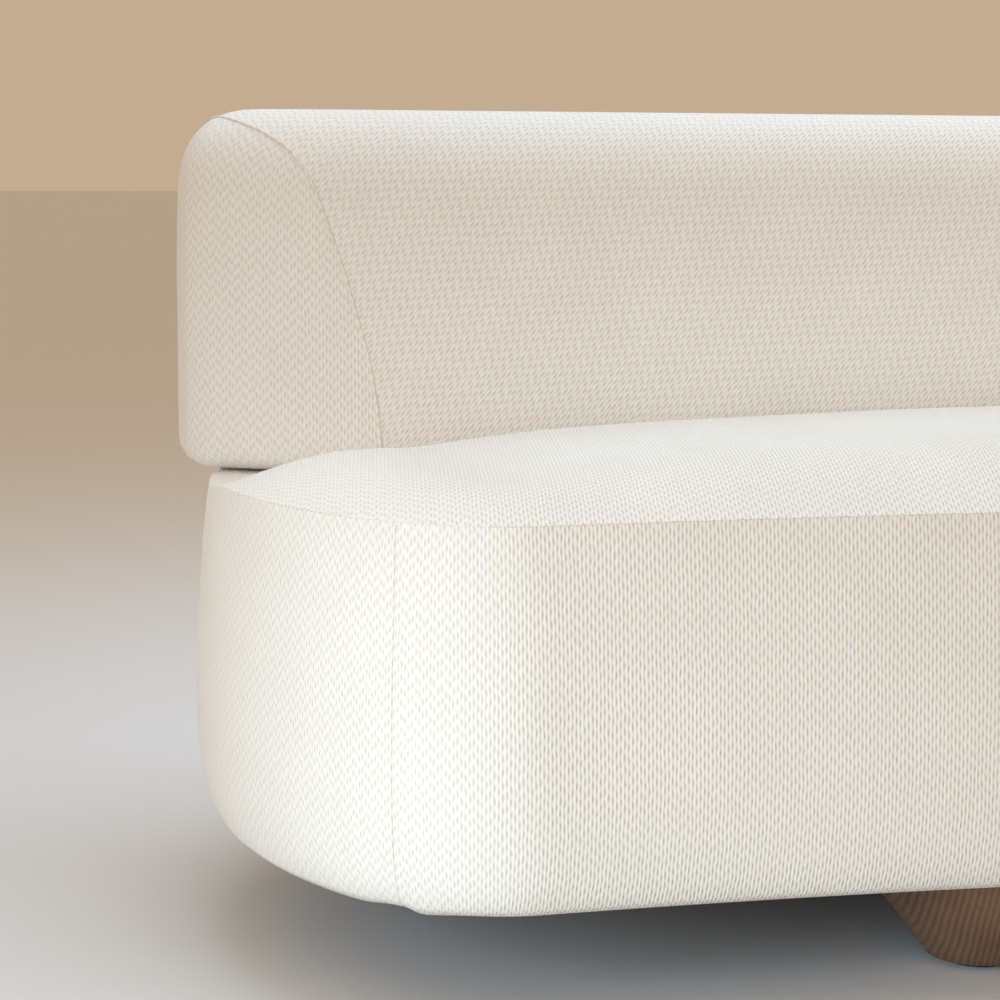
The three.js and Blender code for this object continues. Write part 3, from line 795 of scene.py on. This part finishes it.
class SOFA_OT_legs(bpy.types.Operator):
    """Turns the four walnut legs, each an upside-down cone bored for its bolt"""

    bl_idname = "sofa.legs"
    bl_label = "Legs"

    def execute(self, context):
        plan, timber = context.scene.sofa_plan, context.scene.sofa_timber
        low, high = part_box("leg_front_left")
        top, foot = (timber.leg_top, high.z), (timber.leg_foot, low.z)
        line = np.array(top) + (np.array(foot) - top) * np.linspace(0.05, 0.95, 10)[:, None]
        profile = np.concatenate(
            [
                [(0, BORE_BOTTOM), (BOLT_BORE, BORE_BOTTOM), (BOLT_BORE, high.z)],
                rounded(top, (0, high.z), foot, 2.5 * MM),
                line,
                rounded(foot, top, (0, low.z), 2 * MM),
                [(0.02, low.z), (0, low.z)],
            ]
        )
        angle = np.linspace(0, 2 * np.pi, LEG_SIDES + 1)
        radius, z = profile[:, :1], profile[:, 1:]
        for end, depth in (("front", timber.front_leg), ("rear", timber.rear_leg)):
            for name, side in (("left", -1), ("right", 1)):
                foot_at = bend(plan, side * timber.leg_s, depth, 0.0)
                x, y = radius * np.cos(angle), radius * np.sin(angle)
                grid = np.stack(np.broadcast_arrays(x, y, z), -1) + foot_at
                flat = np.stack(np.broadcast_arrays(angle * 0.1, run_of(profile)[:, None]), -1)
                centre = foot_at + [0, 0, 0.05]
                piece = make_piece(f"turned_leg_{end}_{name}", [(grid, flat)], centre)
                dress(piece, "oiled_turned_walnut", "walnut", f"leg_{end}_{name}")
        return {"FINISHED"}


# ---- materials -----------------------------------------------------------------------------------
def add_node(tree, kind, settings=(), inputs=()):
    """Adds a node with its settings. An input is a value, a socket, or a node whose first output
    it takes."""
    node = tree.nodes.new(kind)
    for name, value in dict(settings).items():
        setattr(node, name, value)
    for name, value in dict(inputs).items():
        if isinstance(value, bpy.types.Node):
            value = value.outputs[0]
        if isinstance(value, bpy.types.NodeSocket):
            tree.links.new(value, node.inputs[name])
        else:
            node.inputs[name].default_value = value
    return node


def start_material(name):
    """An empty material with its output, ready for a shader."""
    material = bpy.data.materials.new(name)
    material.use_nodes = True
    material.node_tree.nodes.clear()
    return material.node_tree


MATH = "ShaderNodeMath"
TAU = 2 * math.pi


def opaque(colour):
    return (*colour, 1.0)


def woven_cover_cloth(scene):
    """A heavy wool-mix furnishing cloth, piece-dyed off-white. Upright yarns float over a beige
    ground in a broken four-column order, so it shows short beige slits between white floats. The
    slits' beige is partly the ground's own colour and partly painted shade in those recesses."""
    cloth = scene.sofa_cloth
    tree = start_material("woven_cover_cloth")
    where = add_node(tree, "ShaderNodeUVMap", {"uv_map": "cloth"})
    # Hand-sized drift of the yarns, a third of a column wide.
    drift = add_node(
        tree, "ShaderNodeTexNoise", inputs={"Vector": where, "Scale": 60.0, "Detail": 2.0}
    )
    sway = add_node(
        tree,
        "ShaderNodeVectorMath",
        {"operation": "MULTIPLY_ADD"},
        {0: drift.outputs["Color"], 1: (0.0022, 0.0040, 0), 2: where},
    )
    parts = add_node(tree, "ShaderNodeSeparateXYZ", inputs={0: sway})
    column = add_node(tree, MATH, {"operation": "DIVIDE"}, {0: parts.outputs[0], 1: cloth.column})
    number = add_node(tree, MATH, {"operation": "ROUND"}, {0: column})
    beside = add_node(tree, MATH, {"operation": "SUBTRACT"}, {0: column, 1: number})
    order = add_node(tree, MATH, {"operation": "FLOORED_MODULO"}, {0: number, 1: 4.0})
    odd = add_node(tree, MATH, {"operation": "FLOORED_MODULO"}, {0: order, 1: 2.0})
    late = add_node(tree, MATH, {"operation": "GREATER_THAN"}, {0: order, 1: 1.5})
    step = add_node(tree, MATH, {"operation": "MULTIPLY"}, {0: late, 1: 0.25})
    offset = add_node(tree, MATH, {"operation": "MULTIPLY_ADD"}, {0: odd, 1: 0.5, 2: step})
    row = add_node(tree, MATH, {"operation": "DIVIDE"}, {0: parts.outputs[1], 1: cloth.row})
    row = add_node(tree, MATH, {"operation": "ADD"}, {0: row, 1: offset})
    turn = add_node(tree, MATH, {"operation": "MULTIPLY"}, {0: row, 1: TAU})
    row_wave = add_node(tree, MATH, {"operation": "COSINE"}, {0: turn})
    slit_length = add_node(
        tree,
        MATH,
        {"operation": "MULTIPLY_ADD", "use_clamp": True},
        {0: row_wave, 1: 0.56, 2: 0.44},
    )
    turn = add_node(tree, MATH, {"operation": "MULTIPLY"}, {0: beside, 1: TAU})
    wave = add_node(tree, MATH, {"operation": "COSINE"}, {0: turn})
    slit_width = add_node(tree, MATH, {"operation": "MULTIPLY_ADD"}, {0: wave, 1: 0.5, 2: 0.5})
    slit = add_node(tree, MATH, {"operation": "MULTIPLY"}, {0: slit_length, 1: slit_width})
    # Fibres about a third of a millimetre across, drawn at 0.8 mm so that they show.
    fibre = add_node(
        tree, "ShaderNodeTexNoise", inputs={"Vector": where, "Scale": 1200.0, "Detail": 2.0}
    )
    fuzz = add_node(tree, MATH, {"operation": "MULTIPLY_ADD"}, {0: fibre, 1: 0.5, 2: -0.25})
    depth = add_node(tree, MATH, {"operation": "ADD", "use_clamp": True}, {0: slit, 1: fuzz})
    # The floats' colour gives way to the gaps' beige in the slits. That beige is partly the ground
    # yarn's own colour and partly painted shade in the recesses.
    tint = add_node(
        tree,
        "ShaderNodeMix",
        {"data_type": "RGBA"},
        {0: depth, 6: opaque(cloth.float_colour), 7: opaque(cloth.ground_and_slit_shade_colour)},
    )
    # Batches of yarn differ a little over a hand's width.
    batch = add_node(
        tree, "ShaderNodeTexNoise", inputs={"Vector": where, "Scale": 9.0, "Detail": 3.0}
    )
    tone = add_node(
        tree,
        "ShaderNodeMapRange",
        inputs={"Value": batch, "To Min": 0.95, "To Max": 1.03},
    )
    shade = add_node(
        tree,
        "ShaderNodeVectorMath",
        {"operation": "SCALE"},
        {0: tint.outputs[2], "Scale": tone},
    )
    # The ground dips between the yarns all along them, and deepest at the slits.
    ground = add_node(tree, MATH, {"operation": "MULTIPLY_ADD"}, {0: row_wave, 1: 0.36, 2: 0.60})
    dip = add_node(tree, MATH, {"operation": "MULTIPLY"}, {0: ground, 1: slit_width})
    dip = add_node(tree, MATH, {"operation": "MULTIPLY_ADD"}, {0: fuzz, 1: 0.5, 2: dip})
    relief = add_node(
        tree,
        "ShaderNodeBump",
        {"invert": True},
        {"Strength": 0.8, "Distance": 0.65 * MM, "Height": dip},
    )
    shader = add_node(
        tree,
        "ShaderNodeBsdfPrincipled",
        inputs={
            "Base Color": shade,
            "Roughness": 0.92,
            "Specular IOR Level": 0.25,
            "Sheen Weight": 0.15,
            "Sheen Roughness": 0.5,
            "Normal": relief,
        },
    )
    add_node(tree, "ShaderNodeOutputMaterial", inputs={"Surface": shader})


def oiled_turned_walnut(scene):
    """American walnut, turned on a lathe and oiled: dark figure lines with fine open pores along
    the grain and a low, soft gloss."""
    timber = scene.sofa_timber
    tree = start_material("oiled_turned_walnut")
    # Growth rings about 6 mm apart, drawn out along an upright grain.
    here = add_node(tree, "ShaderNodeTexCoord").outputs["Object"]
    stretched = add_node(
        tree, "ShaderNodeMapping", inputs={"Vector": here, "Scale": (1.0, 1.0, 0.12)}
    )
    warp = add_node(
        tree, "ShaderNodeTexNoise", inputs={"Vector": stretched, "Scale": 14.0, "Detail": 4.0}
    )
    rings = add_node(
        tree,
        "ShaderNodeTexWave",
        {"wave_type": "BANDS", "bands_direction": "X"},
        {
            "Vector": stretched,
            "Scale": 55.0,
            "Distortion": 2.2,
            "Detail": 4.0,
            "Detail Scale": 0.6,
        },
    )
    figure = add_node(tree, MATH, {"operation": "MULTIPLY_ADD"}, {0: rings, 1: 0.3, 2: 0.0})
    figure = add_node(tree, MATH, {"operation": "ADD", "use_clamp": True}, {0: figure, 1: warp})
    figure = add_node(tree, "ShaderNodeMapRange", inputs={"Value": figure, "From Min": 0.35})
    # Pores about a quarter of a millimetre wide, drawn at 0.6 mm.
    here = add_node(tree, "ShaderNodeTexCoord").outputs["Object"]
    pore_place = add_node(
        tree, "ShaderNodeMapping", inputs={"Vector": here, "Scale": (1.0, 1.0, 0.05)}
    )
    pores = add_node(
        tree, "ShaderNodeTexNoise", inputs={"Vector": pore_place, "Scale": 900.0, "Detail": 2.0}
    )
    pore = add_node(
        tree,
        "ShaderNodeMapRange",
        inputs={"Value": pores, "From Min": 0.55, "From Max": 0.75, "To Max": 0.45},
    )
    grain = add_node(
        tree,
        "ShaderNodeMix",
        {"data_type": "RGBA"},
        {0: figure, 6: opaque(timber.walnut_light), 7: opaque(timber.walnut_dark)},
    )
    tint = add_node(
        tree,
        "ShaderNodeMix",
        {"data_type": "RGBA"},
        {0: pore, 6: grain.outputs[2], 7: (*to_linear("#2A1B12"), 1.0)},
    )
    gloss = add_node(
        tree, "ShaderNodeMapRange", inputs={"Value": pores, "To Min": 0.38, "To Max": 0.56}
    )
    relief = add_node(
        tree,
        "ShaderNodeBump",
        {"invert": True},
        {"Strength": 0.35, "Distance": 0.2 * MM, "Height": pore},
    )
    shader = add_node(
        tree,
        "ShaderNodeBsdfPrincipled",
        inputs={"Base Color": tint.outputs[2], "Roughness": gloss, "IOR": 1.5, "Normal": relief},
    )
    add_node(tree, "ShaderNodeOutputMaterial", inputs={"Surface": shader})


def planed_beech(scene):
    """Steamed beech, planed and left bare: short darker flecks a few millimetres long lie along
    the sofa on an even pinkish ground."""
    timber = scene.sofa_timber
    tree = start_material("planed_beech")
    here = add_node(tree, "ShaderNodeTexCoord").outputs["Object"]
    place = add_node(tree, "ShaderNodeMapping", inputs={"Vector": here, "Scale": (0.12, 1.0, 1.0)})
    fleck = add_node(
        tree, "ShaderNodeTexVoronoi", inputs={"Vector": place, "Scale": 380.0, "Randomness": 1.0}
    )
    mark = add_node(
        tree, "ShaderNodeMapRange", inputs={"Value": fleck, "From Min": 0.1, "From Max": 0.35}
    )
    broad = add_node(
        tree, "ShaderNodeTexNoise", inputs={"Vector": place, "Scale": 45.0, "Detail": 5.0}
    )
    blend = add_node(tree, MATH, {"operation": "MULTIPLY"}, {0: mark, 1: broad})
    tint = add_node(
        tree,
        "ShaderNodeMix",
        {"data_type": "RGBA"},
        {0: blend, 6: opaque(timber.beech_dark), 7: opaque(timber.beech_light)},
    )
    relief = add_node(
        tree, "ShaderNodeBump", inputs={"Strength": 0.2, "Distance": 0.1 * MM, "Height": broad}
    )
    shader = add_node(
        tree,
        "ShaderNodeBsdfPrincipled",
        inputs={"Base Color": tint.outputs[2], "Roughness": 0.68, "Normal": relief},
    )
    add_node(tree, "ShaderNodeOutputMaterial", inputs={"Surface": shader})


def layered_plywood(scene):
    """Birch plywood: veneers 1.5 mm thick glued in turn, so its edges show light and dark lines
    and its faces a wide, flat rotary-cut figure."""
    timber = scene.sofa_timber
    tree = start_material("layered_plywood")
    here = add_node(tree, "ShaderNodeTexCoord").outputs["Object"]
    place = add_node(tree, "ShaderNodeMapping", inputs={"Vector": here, "Scale": (0.2, 1.0, 1.0)})
    figure = add_node(
        tree, "ShaderNodeTexNoise", inputs={"Vector": place, "Scale": 22.0, "Detail": 6.0}
    )
    layers = add_node(
        tree,
        "ShaderNodeTexWave",
        {"wave_type": "BANDS", "bands_direction": "Y"},
        {
            "Vector": add_node(tree, "ShaderNodeTexCoord").outputs["Object"],
            "Scale": 105.0,
            "Distortion": 0.6,
        },
    )
    blend = add_node(tree, MATH, {"operation": "MULTIPLY_ADD"}, {0: layers, 1: 0.25, 2: figure})
    tint = add_node(
        tree,
        "ShaderNodeMix",
        {"data_type": "RGBA"},
        {0: blend, 6: opaque(timber.beech_dark), 7: (*to_linear("#E2C79D"), 1.0)},
    )
    relief = add_node(
        tree, "ShaderNodeBump", inputs={"Strength": 0.25, "Distance": 0.2 * MM, "Height": blend}
    )
    shader = add_node(
        tree,
        "ShaderNodeBsdfPrincipled",
        inputs={"Base Color": tint.outputs[2], "Roughness": 0.72, "Normal": relief},
    )
    add_node(tree, "ShaderNodeOutputMaterial", inputs={"Surface": shader})


def zinc_plated_steel(scene):
    """Steel bolts with a bright zinc plating: a cool grey metal, blotched by passivation."""
    tree = start_material("zinc_plated_steel")
    place = add_node(tree, "ShaderNodeTexCoord").outputs["Object"]
    cloud = add_node(
        tree, "ShaderNodeTexNoise", inputs={"Vector": place, "Scale": 260.0, "Detail": 4.0}
    )
    tint = add_node(
        tree,
        "ShaderNodeMix",
        {"data_type": "RGBA"},
        {0: cloud, 6: (*to_linear("#A9ADB2"), 1.0), 7: (*to_linear("#C9C7BC"), 1.0)},
    )
    gloss = add_node(
        tree, "ShaderNodeMapRange", inputs={"Value": cloud, "To Min": 0.28, "To Max": 0.48}
    )
    shader = add_node(
        tree,
        "ShaderNodeBsdfPrincipled",
        inputs={"Base Color": tint.outputs[2], "Metallic": 1.0, "Roughness": gloss},
    )
    add_node(tree, "ShaderNodeOutputMaterial", inputs={"Surface": shader})


def moulded_nylon(scene):
    """Black nylon glides, injection moulded with a fine spark-eroded texture, scuffed paler."""
    tree = start_material("moulded_nylon")
    place = add_node(tree, "ShaderNodeTexCoord").outputs["Object"]
    grit = add_node(
        tree, "ShaderNodeTexNoise", inputs={"Vector": place, "Scale": 1400.0, "Detail": 2.0}
    )
    scuff = add_node(
        tree, "ShaderNodeTexNoise", inputs={"Vector": place, "Scale": 120.0, "Detail": 5.0}
    )
    worn = add_node(
        tree, "ShaderNodeMapRange", inputs={"Value": scuff, "From Min": 0.55, "From Max": 0.8}
    )
    tint = add_node(
        tree,
        "ShaderNodeMix",
        {"data_type": "RGBA"},
        {0: worn, 6: (*to_linear("#1B1B1C"), 1.0), 7: (*to_linear("#45454A"), 1.0)},
    )
    relief = add_node(
        tree, "ShaderNodeBump", inputs={"Strength": 0.3, "Distance": 0.1 * MM, "Height": grit}
    )
    shader = add_node(
        tree,
        "ShaderNodeBsdfPrincipled",
        inputs={"Base Color": tint.outputs[2], "Roughness": 0.55, "IOR": 1.53, "Normal": relief},
    )
    add_node(tree, "ShaderNodeOutputMaterial", inputs={"Surface": shader})


def cut_foam(scene):
    """Polyurethane foam, cut with a band knife: an open cell of about 1 mm and a pale straw
    colour that yellows in patches."""
    tree = start_material("cut_foam")
    place = add_node(tree, "ShaderNodeTexCoord").outputs["Object"]
    cells = add_node(
        tree, "ShaderNodeTexVoronoi", inputs={"Vector": place, "Scale": 800.0, "Randomness": 1.0}
    )
    patch = add_node(
        tree, "ShaderNodeTexNoise", inputs={"Vector": place, "Scale": 8.0, "Detail": 3.0}
    )
    tint = add_node(
        tree,
        "ShaderNodeMix",
        {"data_type": "RGBA"},
        {0: patch, 6: (*to_linear("#F0E6C0"), 1.0), 7: (*to_linear("#E2CF94"), 1.0)},
    )
    relief = add_node(
        tree, "ShaderNodeBump", inputs={"Strength": 0.6, "Distance": 0.6 * MM, "Height": cells}
    )
    shader = add_node(
        tree,
        "ShaderNodeBsdfPrincipled",
        inputs={
            "Base Color": tint.outputs[2],
            "Roughness": 0.95,
            "Specular IOR Level": 0.2,
            "Normal": relief,
        },
    )
    add_node(tree, "ShaderNodeOutputMaterial", inputs={"Surface": shader})


def woven_webbing(scene):
    """Elastic upholstery webbing: black cords 2 mm apart, woven with rubber, with a dull sheen."""
    tree = start_material("woven_webbing")
    place = add_node(tree, "ShaderNodeTexCoord").outputs["Object"]
    cords = add_node(
        tree,
        "ShaderNodeTexWave",
        {"wave_type": "BANDS", "bands_direction": "X"},
        {"Vector": place, "Scale": 157.0, "Distortion": 0.3},
    )
    picks = add_node(
        tree,
        "ShaderNodeTexWave",
        {"wave_type": "BANDS", "bands_direction": "Y"},
        {"Vector": place, "Scale": 210.0, "Distortion": 0.3},
    )
    weave = add_node(tree, MATH, {"operation": "MULTIPLY"}, {0: cords, 1: picks})
    tint = add_node(
        tree,
        "ShaderNodeMix",
        {"data_type": "RGBA"},
        {0: weave, 6: (*to_linear("#232120"), 1.0), 7: (*to_linear("#5A554E"), 1.0)},
    )
    relief = add_node(
        tree, "ShaderNodeBump", inputs={"Strength": 0.6, "Distance": 0.5 * MM, "Height": weave}
    )
    shader = add_node(
        tree,
        "ShaderNodeBsdfPrincipled",
        inputs={"Base Color": tint.outputs[2], "Roughness": 0.8, "Normal": relief},
    )
    add_node(tree, "ShaderNodeOutputMaterial", inputs={"Surface": shader})


def black_cambric(scene):
    """Non-woven black cambric: a thin felted cloth, spot-bonded every 1.5 mm, quite matt."""
    tree = start_material("black_cambric")
    where = add_node(tree, "ShaderNodeUVMap", {"uv_map": "cloth"})
    dots = add_node(
        tree, "ShaderNodeTexVoronoi", inputs={"Vector": where, "Scale": 650.0, "Randomness": 0.1}
    )
    fibre = add_node(
        tree, "ShaderNodeTexNoise", inputs={"Vector": where, "Scale": 420.0, "Detail": 5.0}
    )
    blend = add_node(tree, MATH, {"operation": "MULTIPLY"}, {0: dots, 1: fibre})
    tint = add_node(
        tree,
        "ShaderNodeMix",
        {"data_type": "RGBA"},
        {0: blend, 6: (*to_linear("#1A1A1B"), 1.0), 7: (*to_linear("#3A3938"), 1.0)},
    )
    relief = add_node(
        tree, "ShaderNodeBump", inputs={"Strength": 0.4, "Distance": 0.2 * MM, "Height": dots}
    )
    shader = add_node(
        tree,
        "ShaderNodeBsdfPrincipled",
        inputs={"Base Color": tint.outputs[2], "Roughness": 0.95, "Normal": relief},
    )
    add_node(tree, "ShaderNodeOutputMaterial", inputs={"Surface": shader})


FINISHES = {
    "woven_cover_cloth": (woven_cover_cloth, None),
    "oiled_turned_walnut": (oiled_turned_walnut, "walnut"),
    "planed_beech": (planed_beech, "beech"),
    "layered_plywood": (layered_plywood, "plywood"),
    "zinc_plated_steel": (zinc_plated_steel, "zinc"),
    "moulded_nylon": (moulded_nylon, "nylon"),
    "cut_foam": (cut_foam, "foam"),
    "woven_webbing": (woven_webbing, "webbing"),
    "black_cambric": (black_cambric, "dust_cloth"),
}


class SOFA_OT_finishes(bpy.types.Operator):
    """Makes every material and gives the frame's own solids theirs"""

    bl_idname = "sofa.finishes"
    bl_label = "Finishes"

    def execute(self, context):
        slots = {part["node"]: part["material_slot"] for part in frame["record"]["subparts"]}
        for name, (build, slot) in FINISHES.items():
            build(context.scene)
            for node in (n for n, s in slots.items() if s == slot):
                NODES[node].data.materials.clear()
                NODES[node].data.materials.append(bpy.data.materials[name])
        return {"FINISHED"}


# ---- floor, lights and camera --------------------------------------------------------------------
FLOOR_HALF = 60.0
# Each lamp's name, place, target, size, spread in degrees, power in watts, and colour.
LAMPS = [
    ("key", (-2.3, -1.9, 0.75), (-0.75, -0.45, 0.2), 0.8, 60, 3.2, "#DBEEFF"),
    ("low_key", (-1.9, -1.7, 0.3), (-0.85, -0.5, 0.12), 0.6, 45, 0.43, "#D2F0FF"),
    ("top", (-0.6, 0.5, 2.3), (-0.6, 0.35, 0.4), 2.4, 180, 35.5, "#C1E2FF"),
]


def aim(lamp, target):
    """Points a lamp or camera, which looks along its own -Z, at a place."""
    lamp.rotation_euler = (Vector(target) - lamp.location).to_track_quat("-Z", "Y").to_euler()


def add_lamp(name, place, target, size, spread, power, code):
    """A round soft light, whose beam keeps within the spread."""
    data = bpy.data.lights.new(name, "AREA")
    data.shape, data.size, data.energy, data.color = "DISK", size, power, to_linear(code)
    data.spread = math.radians(spread)
    lamp = bpy.data.objects.new(name, data)
    lamp.location = place
    aim(lamp, target)
    lamp.visible_camera = False
    bpy.context.scene.collection.objects.link(lamp)


class SOFA_OT_stage(bpy.types.Operator):
    """Lays a plain pale floor and sets soft studio lights and the camera"""

    bl_idname = "sofa.stage"
    bl_label = "Stage"

    def execute(self, context):
        scene = context.scene
        settings = scene.sofa_stage
        tree = start_material("pale_floor")
        shader = add_node(
            tree,
            "ShaderNodeBsdfPrincipled",
            inputs={
                "Base Color": opaque(settings.floor),
                "Roughness": 0.8,
                "Specular IOR Level": 0.2,
            },
        )
        add_node(tree, "ShaderNodeOutputMaterial", inputs={"Surface": shader})
        half = FLOOR_HALF
        corners = [(-half, -half, 0), (half, -half, 0), (half, half, 0), (-half, half, 0)]
        mesh = bpy.data.meshes.new("floor")
        mesh.from_pydata(corners, [], [(0, 1, 2, 3)])
        mesh.materials.append(bpy.data.materials["pale_floor"])
        floor = bpy.data.objects.new("floor", mesh)
        scene.collection.objects.link(floor)

        world = bpy.data.worlds.new("surround")
        world.use_nodes = True
        light = world.node_tree.nodes["Background"]
        light.inputs["Color"].default_value = opaque(settings.surround)
        light.inputs["Strength"].default_value = settings.surround_power
        scene.world = world
        scene.view_settings.view_transform = "Standard"
        for lamp in LAMPS:
            add_lamp(*lamp[:-2], lamp[-2] * settings.lamp_power, lamp[-1])

        camera = bpy.data.objects.new("camera", bpy.data.cameras.new("camera"))
        camera.data.lens = settings.lens
        camera.data.sensor_width = 36.0
        camera.location = (-1.0544, -2.5696, 0.7141)
        camera.rotation_euler = Euler((math.radians(90 - 7.283), 0, math.radians(-2.538)))
        scene.collection.objects.link(camera)
        scene.camera = camera
        return {"FINISHED"}


OPERATORS = [
    SOFA_OT_finishes,
    SOFA_OT_seat_sides,
    SOFA_OT_seat_top,
    SOFA_OT_back_main,
    SOFA_OT_back_ends,
    SOFA_OT_dust_cover,
    SOFA_OT_legs,
    SOFA_OT_stage,
]


class SOFA_PT_panel(bpy.types.Panel):
    """Lists the sofa's steps and sizes in the sidebar"""

    bl_idname = "SOFA_PT_panel"
    bl_label = "Sofa"
    bl_space_type = "VIEW_3D"
    bl_region_type = "UI"
    bl_category = "Sofa"

    def draw(self, context):
        for operator in OPERATORS:
            self.layout.operator(operator.bl_idname)
        for name, group in GROUPS.items():
            box = self.layout.box()
            for setting in group.__annotations__:
                box.prop(getattr(context.scene, name), setting)


def register():
    for group in GROUPS.values():
        bpy.utils.register_class(group)
    for name, group in GROUPS.items():
        setattr(bpy.types.Scene, name, PointerProperty(type=group))
    for kind in [*OPERATORS, SOFA_PT_panel]:
        bpy.utils.register_class(kind)


def unregister():
    for kind in [SOFA_PT_panel, *reversed(OPERATORS)]:
        bpy.utils.unregister_class(kind)
    for name, group in reversed(GROUPS.items()):
        delattr(bpy.types.Scene, name)
        bpy.utils.unregister_class(group)


def main():
    register()
    for operator in OPERATORS:
        group, name = operator.bl_idname.split(".")
        getattr(getattr(bpy.ops, group), name)()


if __name__ == "__main__":
    main()
